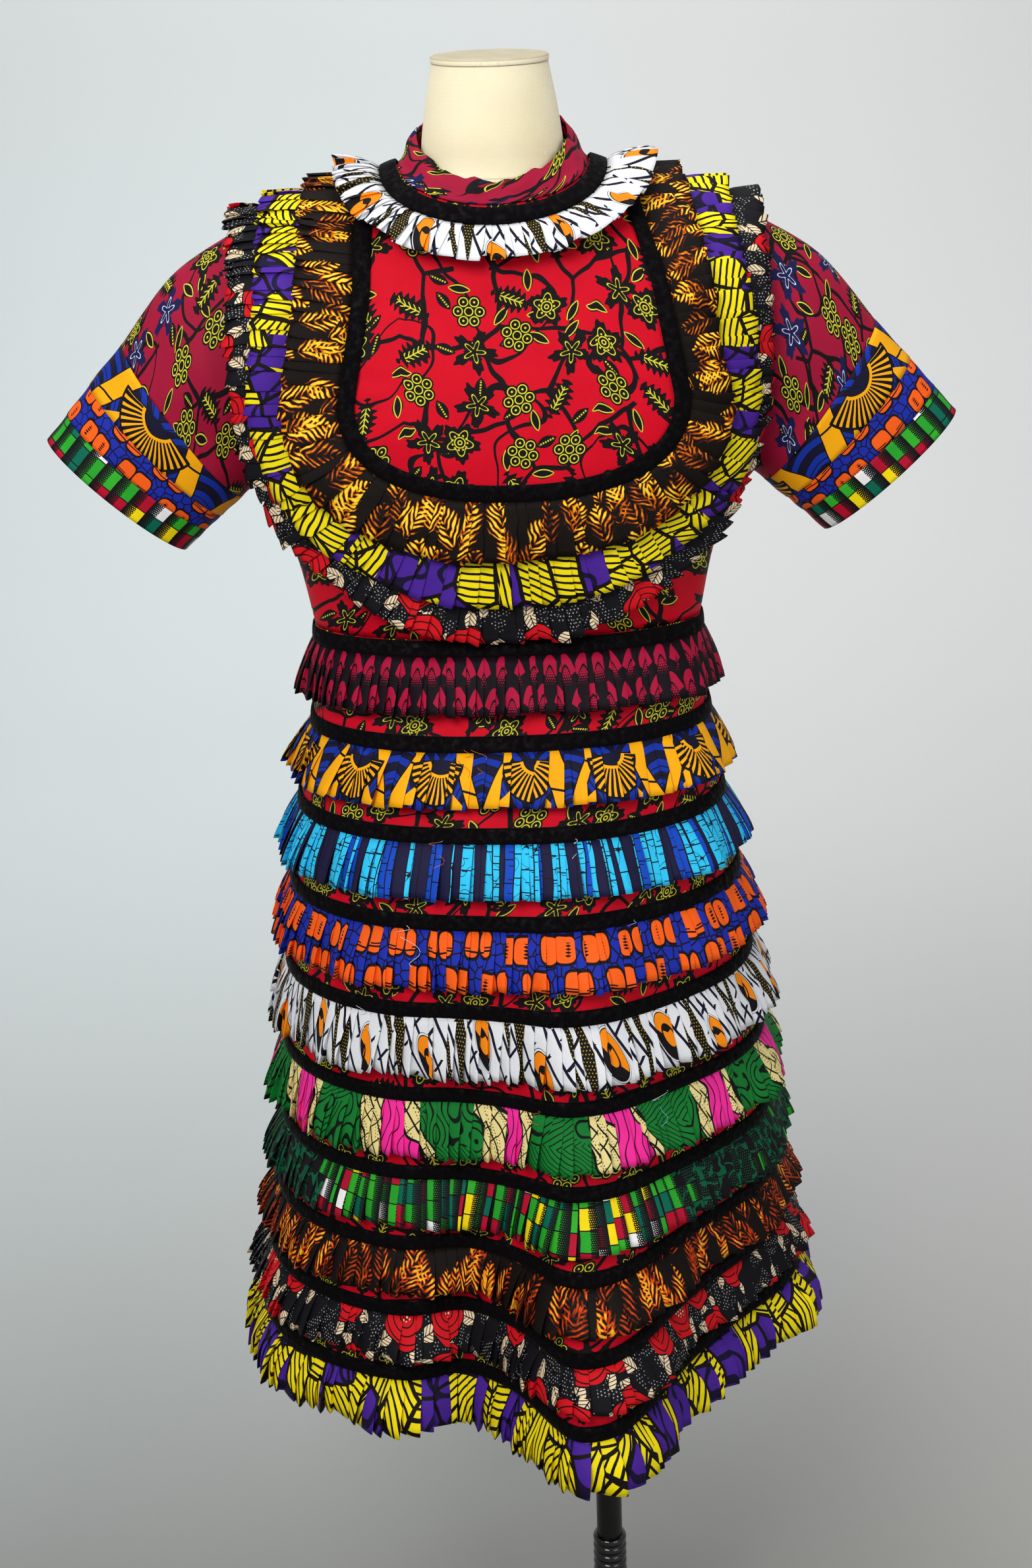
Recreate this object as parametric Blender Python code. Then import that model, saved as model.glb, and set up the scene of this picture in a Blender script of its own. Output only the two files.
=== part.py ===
"""Ankara wax print dress with ruffled yoke and tiers, on a limbless dress form and stand.

Metres, +Z up. The front looks along -Y. The origin is on the floor under the middle
of the dress. The skin of each cloth panel is a grid of points, and every ribbon and
ruffle that lies on a panel is made from the panel's own points, moved out.
"""
import math
from collections import namedtuple

import bpy
from mathutils import Vector

# Clearances and cloth
GAP = 0.0003
COTTON_WALL = 0.0015
RUFFLE_WALL = 0.0012
VELVET_WALL = 0.0015
LIFT = 0.0009
YOKE_LIFT = 0.0016
SEAM_LIFT = 0.0023
SEAM_REACH = 0.030

# Shoulders and neckline
SHOULDER_HIGH = 1.518
SHOULDER_SLOPE = 0.36
SHOULDER_ROUND = 0.080
SHOULDER_GIRTH = 0.140
NECK_HALF_WIDTH = 0.076
NECK_DROP_FRONT = 0.031
NECK_DROP_BACK = 0.012
ROUNDNESS = 2.3

# Armholes, each an oval that stands on the side seam
ARMHOLE_MIDDLE = 1.3625
ARMHOLE_HALF_HEIGHT = 0.1055
ARMHOLE_HALF_DEPTH = 0.055

# The grid of a bodice panel: columns over the neckline and the shoulder, and rows that
# crowd together over the rounded shoulder
NECK_COLUMN_ANGLES = (22.0, 45.0, 68.0, 90.0)
SHOULDER_COLUMN_SHARES = (0.22, 0.44, 0.66, 0.84, 0.95, 1.0)
BODICE_ROW_STEPS = 11
BODICE_ROW_CROWDING = 2.0
PROBE = 0.002

# The bodice from the neck down to the waist seam
Section = namedtuple("Section", "height half_width front back")
BODICE = [
    Section(1.530, 0.215, 0.074, 0.080),
    Section(1.470, 0.215, 0.084, 0.086),
    Section(1.400, 0.214, 0.104, 0.092),
    Section(1.330, 0.212, 0.118, 0.094),
    Section(1.257, 0.206, 0.120, 0.091),
    Section(1.200, 0.182, 0.109, 0.088),
    Section(1.134, 0.168, 0.091, 0.085),
]

# The skirt, one row for each tier's ribbon and one for the hem
Tier = namedtuple("Tier", "height half_width front back flute cut middle tilt")
TIERS = [
    Tier(1.134, 0.168, 0.091, 0.085, 0.000, 0.000, 0.000, 0.000),
    Tier(1.059, 0.173, 0.120, 0.112, 0.000, 0.000, 0.000, 0.000),
    Tier(0.988, 0.186, 0.148, 0.138, 0.003, 0.000, -0.002, 0.000),
    Tier(0.917, 0.198, 0.166, 0.158, 0.007, 0.000, -0.001, 0.000),
    Tier(0.841, 0.208, 0.178, 0.172, 0.018, 0.000, 0.000, 0.002),
    Tier(0.763, 0.217, 0.180, 0.182, 0.026, 0.000, 0.002, 0.003),
    Tier(0.689, 0.223, 0.181, 0.190, 0.034, 0.000, 0.003, 0.005),
    Tier(0.622, 0.231, 0.184, 0.198, 0.055, 0.006, 0.003, 0.008),
    Tier(0.560, 0.240, 0.189, 0.207, 0.075, 0.020, 0.002, 0.012),
    Tier(0.499, 0.251, 0.194, 0.216, 0.085, 0.034, 0.002, 0.014),
]
HEM = Tier(0.462, 0.258, 0.199, 0.223, 0.088, 0.037, 0.003, 0.016)
CUT_MIDDLE = 0.200
CUT_REACH = 0.070
FLUTE_MIDDLE = 0.046
FLUTE_LEFT = 0.047
FLUTE_RIGHT = 0.070
FLUTE_BLUNT = 2.4
TROUGH_MIDDLE = -0.062
TROUGH_REACH = 0.034
TROUGH_SHARE = 0.26
BACK_FLUTES = 3
BACK_FLUTE_SHARE = 0.12

# Waves of every ruffle, each a little different from the next
WAVE_SWELL = 0.3
WAVE_SWELL_STEP = 1.7
WAVE_SHIFT = 0.9
POINTS_A_WAVE = 4

# Ribbons and tier ruffles
RIBBON_WIDTH = 0.0135
RIBBON_MARGIN = 0.08
RUFFLE_END = 0.76
LAST_RUFFLE_DROP = 0.037
TIER_WAVES = 12
TIER_STAND_OUT = 0.015
TIER_WAVE = 0.0042

# Yoke rings, each a U in front and behind that crosses both shoulders
Ring = namedtuple("Ring", "shoulder_x side_x side_height bottom_height shift squareness")
YOKE_SEAM = Ring(0.107, 0.135, 1.336, 1.263, 0.011, 2.40)
FLAME_EDGE = Ring(0.146, 0.177, 1.334, 1.209, 0.004, 2.25)
VIOLET_EDGE = Ring(0.184, 0.200, 1.330, 1.169, 0.003, 2.05)
ROSE_EDGE = Ring(0.211, 0.207, 1.325, 1.137, 0.000, 2.00)
YOKE_NARROWING = 1.6
VIOLET_START = 0.84
ROSE_START = 0.80
YOKE_POINTS = 56
YOKE_ROUTE_STEPS = 60
RuffleRow = namedtuple("RuffleRow", "share rise")
YOKE_ROWS = [RuffleRow(0.0, 0.0), RuffleRow(0.5, 0.56), RuffleRow(1.0, 1.0)]
YOKE_STAND_BOTTOM = 0.0115
YOKE_STAND_GAIN = 0.0050
YOKE_WAVE = 0.0026

# Neck pieces
NECK_RUFFLE_REACH = 0.047
NECK_RUFFLE_STAND = 0.0180
NECK_RUFFLE_WAVE = 0.0032
NECK_POINTS = 56
NECK_ROUTE_STEPS = 90
NECK_FALL_FRONT = 0.93
NECK_FALL_BACK = 0.62
BAND_POINTS = 28
BAND_FOOT_LIFT = 0.0012
RIBBON_START = 0.0030
BAND_TOP_HALF_WIDTH = 0.0625
BAND_TOP_FRONT = -0.0650
BAND_TOP_BACK = 0.0560
BAND_FRONT_HEIGHT = 1.505
BAND_DIP = 1.7
BAND_BACK_HEIGHT = 1.556

# Sleeves: the highest and lowest point of each ring, for the side at +X
SleeveRing = namedtuple("SleeveRing", "top_x top_height low_x low_height half_depth")
SLEEVE_MIDDLE = SleeveRing(0.270, 1.434, 0.216, 1.252, 0.058)
BAND_START = SleeveRing(0.317, 1.378, 0.224, 1.245, 0.054)
BAND_SEAM = SleeveRing(0.347, 1.346, 0.242, 1.229, 0.050)
CUFF_START = SleeveRing(0.369, 1.322, 0.255, 1.217, 0.047)
CUFF_END = SleeveRing(0.388, 1.301, 0.274, 1.199, 0.045)
SLEEVE_POINTS = 20

# The dress form inside the cloth
FORM = [
    Section(1.530, 0.185, 0.066, 0.072),
    Section(1.460, 0.185, 0.078, 0.080),
    Section(1.400, 0.178, 0.095, 0.084),
    Section(1.330, 0.168, 0.108, 0.086),
    Section(1.257, 0.158, 0.108, 0.083),
    Section(1.200, 0.146, 0.097, 0.079),
    Section(1.134, 0.136, 0.080, 0.074),
    Section(1.080, 0.133, 0.080, 0.076),
    Section(1.000, 0.150, 0.088, 0.096),
    Section(0.930, 0.168, 0.094, 0.110),
    Section(0.860, 0.175, 0.096, 0.112),
    Section(0.800, 0.170, 0.090, 0.104),
]
FORM_LEVELS = [0.800, 0.808, 0.860, 0.930, 1.000, 1.075, 1.134, 1.200, 1.257, 1.330,
               1.395, 1.440, 1.468, 1.486, 1.497]
FORM_EASE = 0.0030
FORM_POINTS = 28
NeckSection = namedtuple("NeckSection", "height half_width half_depth middle")
NECK = [
    NeckSection(1.5090, 0.0605, 0.0550, -0.0050),
    NeckSection(1.5180, 0.0585, 0.0535, -0.0055),
    NeckSection(1.5340, 0.0580, 0.0535, -0.0065),
    NeckSection(1.5650, 0.0535, 0.0500, -0.0085),
    NeckSection(1.5960, 0.0475, 0.0460, -0.0105),
]
CapRing = namedtuple("CapRing", "lift inset")
CAP = [
    CapRing(GAP, 0.0),
    CapRing(0.0012, -0.0008),
    CapRing(0.0045, -0.0008),
    CapRing(0.0060, 0.0007),
]
CAP_TILT = math.radians(4.5)

# The stand
POLE_X = 0.071
POLE_RADIUS = 0.0125
FLANGE_RADIUS = 0.045
FLANGE_HEIGHT = 0.006
FLANGE_BEVEL = 0.001
POLE_FOOT = 0.026
COLLAR_TOP = 0.186
COLLAR_RINGS = 5
COLLAR_PITCH = 0.0093
COLLAR_RADIUS = 0.0165
COLLAR_GROOVE = 0.0148
COLLAR_ROUNDING = 0.0020
Turned = namedtuple("Turned", "radius height")
BASE = [
    Turned(0.150, 0.000),
    Turned(0.150, 0.007),
    Turned(0.146, 0.010),
    Turned(0.093, 0.0166),
    Turned(0.030, 0.022),
    Turned(0.027, POLE_FOOT - GAP),
]
TURNED_POINTS = 24

# Colour, roughness and metallic value of each kind of cloth and finish
Surface = namedtuple("Surface", "red green blue roughness metallic")
SURFACES = {
    "red_vine": Surface(0.42, 0.02, 0.03, 0.75, 0.0),
    "branches": Surface(0.80, 0.80, 0.78, 0.75, 0.0),
    "flames": Surface(0.45, 0.18, 0.02, 0.75, 0.0),
    "violet_and_yellow": Surface(0.60, 0.50, 0.05, 0.75, 0.0),
    "roses_on_black": Surface(0.08, 0.03, 0.03, 0.75, 0.0),
    "arches": Surface(0.15, 0.02, 0.04, 0.75, 0.0),
    "fans": Surface(0.05, 0.12, 0.45, 0.75, 0.0),
    "canes": Surface(0.03, 0.35, 0.60, 0.75, 0.0),
    "barrels": Surface(0.08, 0.10, 0.55, 0.75, 0.0),
    "leaves": Surface(0.10, 0.30, 0.08, 0.75, 0.0),
    "blocks": Surface(0.10, 0.40, 0.25, 0.75, 0.0),
    "velvet": Surface(0.010, 0.009, 0.011, 0.9, 0.0),
    "jersey": Surface(0.72, 0.66, 0.55, 0.85, 0.0),
    "cap_cloth": Surface(0.55, 0.53, 0.49, 0.8, 0.0),
    "satin_tube": Surface(0.012, 0.012, 0.013, 0.4, 0.6),
    "gloss_collar": Surface(0.008, 0.008, 0.009, 0.15, 0.0),
    "satin_base": Surface(0.012, 0.012, 0.013, 0.45, 0.6),
}
TIER_PRINTS = ["arches", "fans", "canes", "barrels", "branches", "leaves", "blocks", "flames",
               "roses_on_black", "violet_and_yellow"]
SMOOTH_ANGLE = math.radians(40.0)

FRONT = -1
BACK = 1


# Reading tables and shaping curves

def read(table, height, column):
    """A column of a table of sections at any height, on a smooth curve."""
    heights = [row.height for row in table]
    values = [getattr(row, column) for row in table]
    last = len(table) - 1
    if height >= heights[0]:
        return values[0]
    if height <= heights[last]:
        return values[last]
    step = next(i for i in range(last) if heights[i + 1] <= height)

    def slope(i):
        low, high = max(0, i - 1), min(last, i + 1)
        return (values[high] - values[low]) / (heights[high] - heights[low])

    span = heights[step + 1] - heights[step]
    t = (height - heights[step]) / span
    start, end = values[step], values[step + 1]
    lead, trail = slope(step) * span, slope(step + 1) * span
    return (start * (2 * t ** 3 - 3 * t ** 2 + 1) + lead * (t ** 3 - 2 * t ** 2 + t)
            + end * (3 * t ** 2 - 2 * t ** 3) + trail * (t ** 3 - t ** 2))


def oval(share):
    """How deep a section is at a share of its half width, 1 in the middle, 0 at the side."""
    return (1.0 - min(1.0, abs(share)) ** ROUNDNESS) ** (1.0 / ROUNDNESS)


def quarter_round(share):
    """Rises from 0 to 1 on a quarter circle and stays 1."""
    share = min(1.0, max(0.0, share))
    return math.sqrt(1.0 - (1.0 - share) ** 2)


def bell(x, middle, reach):
    return math.exp(-((x - middle) / reach) ** 2)


# Solids

def finish(name, surface):
    """A material of its own for one piece."""
    material = bpy.data.materials.new(name)
    material.use_nodes = True
    shader = material.node_tree.nodes["Principled BSDF"]
    shader.inputs["Base Color"].default_value = (surface.red, surface.green, surface.blue, 1.0)
    shader.inputs["Roughness"].default_value = surface.roughness
    shader.inputs["Metallic"].default_value = surface.metallic
    return material


def add_solid(name, points, faces, surface):
    mesh = bpy.data.meshes.new(name)
    mesh.from_pydata([tuple(point) for point in points], [], faces)
    mesh.materials.append(finish(name, SURFACES[surface]))
    mesh.shade_smooth()
    mesh.set_sharp_from_angle(angle=SMOOTH_ANGLE)
    solid = bpy.data.objects.new(name, mesh)
    bpy.context.scene.collection.objects.link(solid)


def signed_volume(points, faces):
    return sum(points[a].dot(points[b].cross(points[c])) for a, b, c in faces) / 6.0


def add_wall(name, outer, inner, surface, closed):
    """A cloth wall between two grids of points, open at its ends or closed round a ring."""
    rows, columns = len(outer), len(outer[0])
    points = [point for grid in (outer, inner) for row in grid for point in row]
    under = rows * columns
    faces = []

    def quad(a, b, c, d):
        faces.append((a, b, c))
        faces.append((a, c, d))

    steps = columns if closed else columns - 1
    for r in range(rows - 1):
        for c in range(steps):
            n = (c + 1) % columns
            a, b = r * columns + c, r * columns + n
            d, e = (r + 1) * columns + c, (r + 1) * columns + n
            faces.extend([(a, b, e), (a, e, d)])
            faces.extend([(under + a, under + e, under + b), (under + a, under + d, under + e)])
    foot = (rows - 1) * columns
    for c in range(steps):
        n = (c + 1) % columns
        quad(c, under + c, under + n, n)
        quad(foot + c, foot + n, under + foot + n, under + foot + c)
    if not closed:
        end = columns - 1
        for r in range(rows - 1):
            a, b = r * columns, (r + 1) * columns
            quad(a, b, under + b, under + a)
            quad(a + end, under + a + end, under + b + end, b + end)
    if signed_volume(points, faces) < 0.0:
        faces = [face[::-1] for face in faces]
    add_solid(name, points, faces, surface)


def add_lofted(name, rings, surface, hollow=False):
    """A solid skinned over closed rings of points, with flat ends or round a bore."""
    count = len(rings[0])
    points = [point for ring in rings for point in ring]
    faces = []
    for r in range(len(rings) - 1):
        for c in range(count):
            n = (c + 1) % count
            a, b = r * count + c, r * count + n
            faces.extend([(a, b, b + count), (a, b + count, a + count)])
    top = len(points) - count
    if hollow:
        for c in range(count):
            n = (c + 1) % count
            faces.extend([(top + c, top + n, n), (top + c, n, c)])
    else:
        for c in range(1, count - 1):
            faces.extend([(0, c + 1, c), (top, top + c, top + c + 1)])
    if signed_volume(points, faces) < 0.0:
        faces = [face[::-1] for face in faces]
    add_solid(name, points, faces, surface)


def round_ring(centre, half_width, half_depth, count, slope=0.0):
    ring = []
    for step in range(count):
        angle = 2.0 * math.pi * step / count
        x = half_width * math.cos(angle)
        y = half_depth * math.sin(angle)
        ring.append(centre + Vector((x, y, slope * y)))
    return ring


# Cloth panels

Panel = namedtuple("Panel", "columns points normals")


def make_panel(side, columns, rows, place):
    """A panel's grid of points and the outward direction at each of them."""
    points = [[place(side, column, row) for column in columns] for row in rows]
    last_row, last_column = len(rows) - 1, len(columns) - 1
    normals = []
    for r in range(len(rows)):
        line = []
        for c in range(len(columns)):
            across = points[r][min(c + 1, last_column)] - points[r][max(c - 1, 0)]
            down = points[min(r + 1, last_row)][c] - points[max(r - 1, 0)][c]
            normal = across.cross(down) * side
            if abs(points[r][c].y) < 2.0 * GAP:
                normal.y = 0.0
            if abs(points[r][c].x) < 2.0 * GAP:
                normal.x = 0.0
            line.append(normal.normalized())
        normals.append(line)
    return Panel(columns, points, normals)


def sew_panel(name, panel):
    inner = [[point - normal * COTTON_WALL for point, normal in zip(points, normals)]
             for points, normals in zip(panel.points, panel.normals)]
    add_wall(name, panel.points, inner, "red_vine", closed=False)


def find_cell(values, value):
    """The cell of an ascending list that holds a value, and the share across it."""
    last = len(values) - 2
    cell = next((i for i in range(last) if value < values[i + 1]), last)
    share = (value - values[cell]) / (values[cell + 1] - values[cell])
    return cell, min(1.0, max(0.0, share))


# The bodice

def shoulder_height(x):
    return SHOULDER_HIGH - SHOULDER_SLOPE * (abs(x) - NECK_HALF_WIDTH)


def neckline_height(x, side):
    drop = NECK_DROP_FRONT if side == FRONT else NECK_DROP_BACK
    share = min(1.0, abs(x) / NECK_HALF_WIDTH)
    return SHOULDER_HIGH - drop * math.sqrt(1.0 - share ** 2)


def top_edge(x, side):
    if abs(x) < NECK_HALF_WIDTH:
        return neckline_height(x, side)
    return shoulder_height(x)


def armhole_half_depth(height):
    share = (height - ARMHOLE_MIDDLE) / ARMHOLE_HALF_HEIGHT
    return ARMHOLE_HALF_DEPTH * math.sqrt(max(0.0, 1.0 - share ** 2))


def chest_depth(table, x, height, side, edge, ease=0.0):
    share = x / read(table, height, "half_width")
    full = read(table, height, "front" if side == FRONT else "back")
    rise = (shoulder_height(x) - ease - height) / SHOULDER_ROUND
    return quarter_round(rise) * (edge + (full - edge) * oval(share))


def bodice_point(side, column, row):
    top_width = BODICE[0].half_width
    top = top_edge(column * top_width, side)
    waist = TIERS[0].height + GAP
    height = top + (waist - top) * row
    x = column * read(BODICE, height, "half_width")
    depth = chest_depth(BODICE, x, height, side, armhole_half_depth(height))
    return Vector((x, side * max(GAP / 2.0, depth), height))


def bodice_columns():
    """Columns from armhole to armhole, with one at each end of the neckline."""
    neck = NECK_HALF_WIDTH / BODICE[0].half_width
    shoulder = [neck + (1.0 - neck) * share for share in SHOULDER_COLUMN_SHARES]
    inside = [neck * math.sin(math.radians(angle)) for angle in NECK_COLUMN_ANGLES]
    half = inside + shoulder
    return [-value for value in reversed(half)] + [0.0] + half


def bodice_rows():
    """Shares of the way from the top edge down to the waist seam."""
    return [(step / BODICE_ROW_STEPS) ** BODICE_ROW_CROWDING for step in range(BODICE_ROW_STEPS + 1)]


def on_bodice(side, x, height):
    """The point and the outward direction where the bodice has this x and this height."""
    column = x / read(BODICE, height, "half_width")
    column = min(1.0 - PROBE, max(PROBE - 1.0, column))
    top = top_edge(column * BODICE[0].half_width, side)
    row = max(0.0, (top - height) / (top - TIERS[0].height - GAP))
    above = max(0.0, row - PROBE)
    across = bodice_point(side, column + PROBE, row) - bodice_point(side, column - PROBE, row)
    down = bodice_point(side, column, row + PROBE) - bodice_point(side, column, above)
    normal = across.cross(down) * side
    return bodice_point(side, column, row), normal.normalized()


# The skirt

def skirt_point(side, column, height):
    table = TIERS + [HEM]
    half_width = read(table, height, "half_width")
    x = column * half_width
    flute = read(table, height, "flute")
    if side == FRONT:
        reach = FLUTE_LEFT if x < FLUTE_MIDDLE else FLUTE_RIGHT
        depth = read(table, height, "front") * oval(column)
        depth += flute * math.exp(-abs((x - FLUTE_MIDDLE) / reach) ** FLUTE_BLUNT)
        depth -= flute * TROUGH_SHARE * bell(x, TROUGH_MIDDLE, TROUGH_REACH)
        depth -= read(table, height, "cut") * bell(x, CUT_MIDDLE, CUT_REACH)
    else:
        depth = read(table, height, "back") * oval(column)
        ripple = math.cos(column * math.pi * (BACK_FLUTES - 1)) * oval(column)
        depth += flute * BACK_FLUTE_SHARE * ripple
    x += read(table, height, "middle")
    lean = read(table, height, "tilt") * max(0.0, column) ** 2
    return Vector((x, side * max(GAP / 2.0, depth), height + lean))


FRONT_COLUMNS = [-1.0, -0.86, -0.64, -0.42, -0.25, -0.12, -0.02, 0.07, 0.15, 0.23, 0.33, 0.45, 0.62,
                 0.84, 1.0]
BACK_COLUMNS = [-1.0, -0.85, -0.60, -0.30, 0.0, 0.30, 0.60, 0.85, 1.0]


def skirt_heights():
    """The upper and the lower edge of every ribbon, and the hem, from the waist down."""
    edges = []
    for tier in TIERS:
        edges.extend([tier.height, tier.height - RIBBON_WIDTH])
    return edges + [HEM.height]


def skirt_ring(panels, row, share, halved):
    """Points and directions round both panels, part of the way from one row to the next."""
    front, back = panels[FRONT], panels[BACK]
    ring = []
    for panel, order in ((front, range(len(front.columns))),
                         (back, range(len(back.columns) - 2, 0, -1))):
        for c in order:
            point = panel.points[row][c].lerp(panel.points[row + 1][c], share)
            normal = panel.normals[row][c].lerp(panel.normals[row + 1][c], share)
            if abs(point.y) < 2.0 * GAP:
                point.y = 0.0
            ring.append((point, normal.normalized()))
    if not halved:
        return ring
    finer = []
    for i, (point, normal) in enumerate(ring):
        after, turned = ring[(i + 1) % len(ring)]
        finer.append((point, normal))
        finer.append((point.lerp(after, 0.5), (normal + turned).normalized()))
    return finer


def lifted(ring, height):
    return [point + normal * height for point, normal in ring]


def wave_height(step, points_a_wave, number):
    """The height of one point of an uneven row of waves, with another phase for each ruffle."""
    swell = 1.0 + WAVE_SWELL * math.sin(WAVE_SWELL_STEP * step + number)
    return swell * math.sin(2.0 * math.pi * step / points_a_wave + WAVE_SHIFT * number)


def add_tier(number, panels):
    row = 2 * (number - 1)
    upper = skirt_ring(panels, row, RIBBON_MARGIN, halved=False)
    lower = skirt_ring(panels, row, 1.0, halved=False)
    outer = [lifted(upper, LIFT + VELVET_WALL), lifted(lower, LIFT + VELVET_WALL)]
    inner = [lifted(upper, LIFT), lifted(lower, LIFT)]
    add_wall(f"tier_ribbon_{number:02d}", outer, inner, "velvet", closed=True)

    heights = skirt_heights()
    drop = heights[row + 1] - heights[row + 2]
    start = 1.5 * GAP / drop
    end = 1.0 if number == len(TIERS) else RUFFLE_END
    head = skirt_ring(panels, row + 1, start, halved=True)
    foot = skirt_ring(panels, row + 1, end, halved=True)
    points_a_wave = len(head) / TIER_WAVES
    extra = LAST_RUFFLE_DROP - drop if number == len(TIERS) else 0.0
    bottom = []
    for i, (point, normal) in enumerate(foot):
        out = TIER_STAND_OUT + TIER_WAVE * wave_height(i, points_a_wave, number)
        bottom.append((point - Vector((0.0, 0.0, extra)), normal, out))
    outer = [lifted(head, LIFT + RUFFLE_WALL), [p + n * (out + RUFFLE_WALL) for p, n, out in bottom]]
    inner = [lifted(head, LIFT), [p + n * out for p, n, out in bottom]]
    add_wall(f"tier_ruffle_{number:02d}", outer, inner, TIER_PRINTS[number - 1], closed=True)


# Yoke ribbon and yoke ruffles

def girth_of_drop(drop):
    """Distance over the rounded shoulder and down, for a drop below the shoulder line."""
    if drop >= SHOULDER_ROUND:
        return SHOULDER_GIRTH + drop - SHOULDER_ROUND
    turn = math.acos(1.0 - max(0.0, drop) / SHOULDER_ROUND)
    return SHOULDER_GIRTH * turn / (math.pi / 2.0)


def drop_of_girth(girth):
    if girth >= SHOULDER_GIRTH:
        return SHOULDER_ROUND + girth - SHOULDER_GIRTH
    turn = girth / SHOULDER_GIRTH * math.pi / 2.0
    return SHOULDER_ROUND * (1.0 - math.cos(turn))


def ring_route(ring):
    """One side of a yoke ring from the left shoulder to the right, as x and height."""
    half = []
    side_girth = girth_of_drop(shoulder_height(ring.side_x) - ring.side_height)
    for step in range(YOKE_ROUTE_STEPS):
        share = 1.0 - step / YOKE_ROUTE_STEPS
        x = ring.side_x + (ring.shoulder_x - ring.side_x) * (1.0 - (1.0 - share) ** YOKE_NARROWING)
        half.append((x, shoulder_height(x) - drop_of_girth(side_girth * (1.0 - share))))
    for step in range(YOKE_ROUTE_STEPS + 1):
        turn = math.radians(90.0 * (1.0 - step / YOKE_ROUTE_STEPS))
        x = ring.side_x * math.sin(turn) ** (2.0 / ring.squareness)
        fall = max(0.0, math.cos(turn)) ** (2.0 / ring.squareness)
        half.append((x, ring.side_height - (ring.side_height - ring.bottom_height) * fall))
    left = [(-x, height) for x, height in half]
    return left + half[-2::-1]


def even_steps(line, count):
    """Points and directions at even steps along a line, with both its ends."""
    lengths = [0.0]
    for a, b in zip(line, line[1:]):
        lengths.append(lengths[-1] + (b[0] - a[0]).length)
    spots = []
    for step in range(count + 1):
        cell, share = find_cell(lengths, lengths[-1] * step / count)
        a, b = line[cell], line[cell + 1]
        spots.append((a[0].lerp(b[0], share), a[1].lerp(b[1], share).normalized()))
    return spots


def yoke_ring(ring):
    """A closed ring over both shoulders, with its points and outward directions."""
    spots = []
    for side in (FRONT, BACK):
        half = []
        for x, height in ring_route(ring)[::-side]:
            down = min(1.0, (shoulder_height(x) - height) / SHOULDER_ROUND)
            half.append(on_bodice(side, x + ring.shift * down, height))
        spots.extend(even_steps(half, YOKE_POINTS // 2)[:-1])
    return spots


def resting(ring, above=0.0):
    """A ring lying on the bodice, a little higher over the shoulder seams' bulk."""
    return [point + normal * (above + YOKE_LIFT + SEAM_LIFT * bell(point.y, 0.0, SEAM_REACH))
            for point, normal in ring]


def ring_widened(ring, distance):
    """A yoke ring moved away from the middle of the yoke."""
    return Ring(ring.shoulder_x + distance, ring.side_x + distance, ring.side_height,
                ring.bottom_height - distance, ring.shift, ring.squareness)


def ring_between(first, second, share):
    return Ring(*[a + (b - a) * share for a, b in zip(first, second)])


def add_yoke_ruffle(name, start, edge, surface, number):
    """A ruffle from the ring that it is sewn along to its free edge, which stands out."""
    skins = [[], []]
    for share, rise in YOKE_ROWS:
        rows = [[], []]
        for i, (point, normal) in enumerate(yoke_ring(ring_between(start, edge, share))):
            high = (point.z - YOKE_SEAM.bottom_height) / (SHOULDER_HIGH - YOKE_SEAM.bottom_height)
            stand = YOKE_STAND_BOTTOM + YOKE_STAND_GAIN * min(1.0, max(0.0, high))
            out = (stand + YOKE_WAVE * wave_height(i, POINTS_A_WAVE, number)) * rise
            rows[0].append(resting([(point, normal)], out + RUFFLE_WALL)[0])
            rows[1].append(resting([(point, normal)], out)[0])
        skins[0].append(rows[0])
        skins[1].append(rows[1])
    add_wall(name, skins[0], skins[1], surface, closed=True)


def add_yoke():
    half = RIBBON_WIDTH / 2.0
    inside = yoke_ring(ring_widened(YOKE_SEAM, -half))
    outside = yoke_ring(ring_widened(YOKE_SEAM, half))
    outer = [resting(inside, VELVET_WALL), resting(outside, VELVET_WALL)]
    inner = [resting(inside), resting(outside)]
    add_wall("yoke_ribbon", outer, inner, "velvet", closed=True)
    flame_start = ring_widened(YOKE_SEAM, half + 2.0 * GAP)
    violet_start = ring_between(YOKE_SEAM, FLAME_EDGE, VIOLET_START)
    rose_start = ring_between(FLAME_EDGE, VIOLET_EDGE, ROSE_START)
    add_yoke_ruffle("yoke_ruffle_flame", flame_start, FLAME_EDGE, "flames", 1)
    add_yoke_ruffle("yoke_ruffle_violet", violet_start, VIOLET_EDGE, "violet_and_yellow", 2)
    add_yoke_ruffle("yoke_ruffle_rose", rose_start, ROSE_EDGE, "roses_on_black", 3)


# Neck pieces, open at the centre back where the dress closes

def neck_ring(reach, count):
    """A ring on the bodice at a reach outside the neckline, from centre back to centre back."""
    half_width = NECK_HALF_WIDTH + reach
    side_height = shoulder_height(half_width)
    spots = []
    for step in range(NECK_ROUTE_STEPS + 1):
        angle = 2.0 * math.pi * step / NECK_ROUTE_STEPS
        side = BACK if math.cos(angle) > 0.0 else FRONT
        x = -half_width * math.sin(angle)
        if step == 0:
            x = -GAP
        if step == NECK_ROUTE_STEPS:
            x = GAP
        low = SHOULDER_HIGH - NECK_DROP_BACK - reach * NECK_FALL_BACK
        if side == FRONT:
            low = SHOULDER_HIGH - NECK_DROP_FRONT - reach * NECK_FALL_FRONT
        height = side_height - (side_height - low) * abs(math.cos(angle))
        spots.append(on_bodice(side, x, height))
    return even_steps(spots, count)


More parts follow.
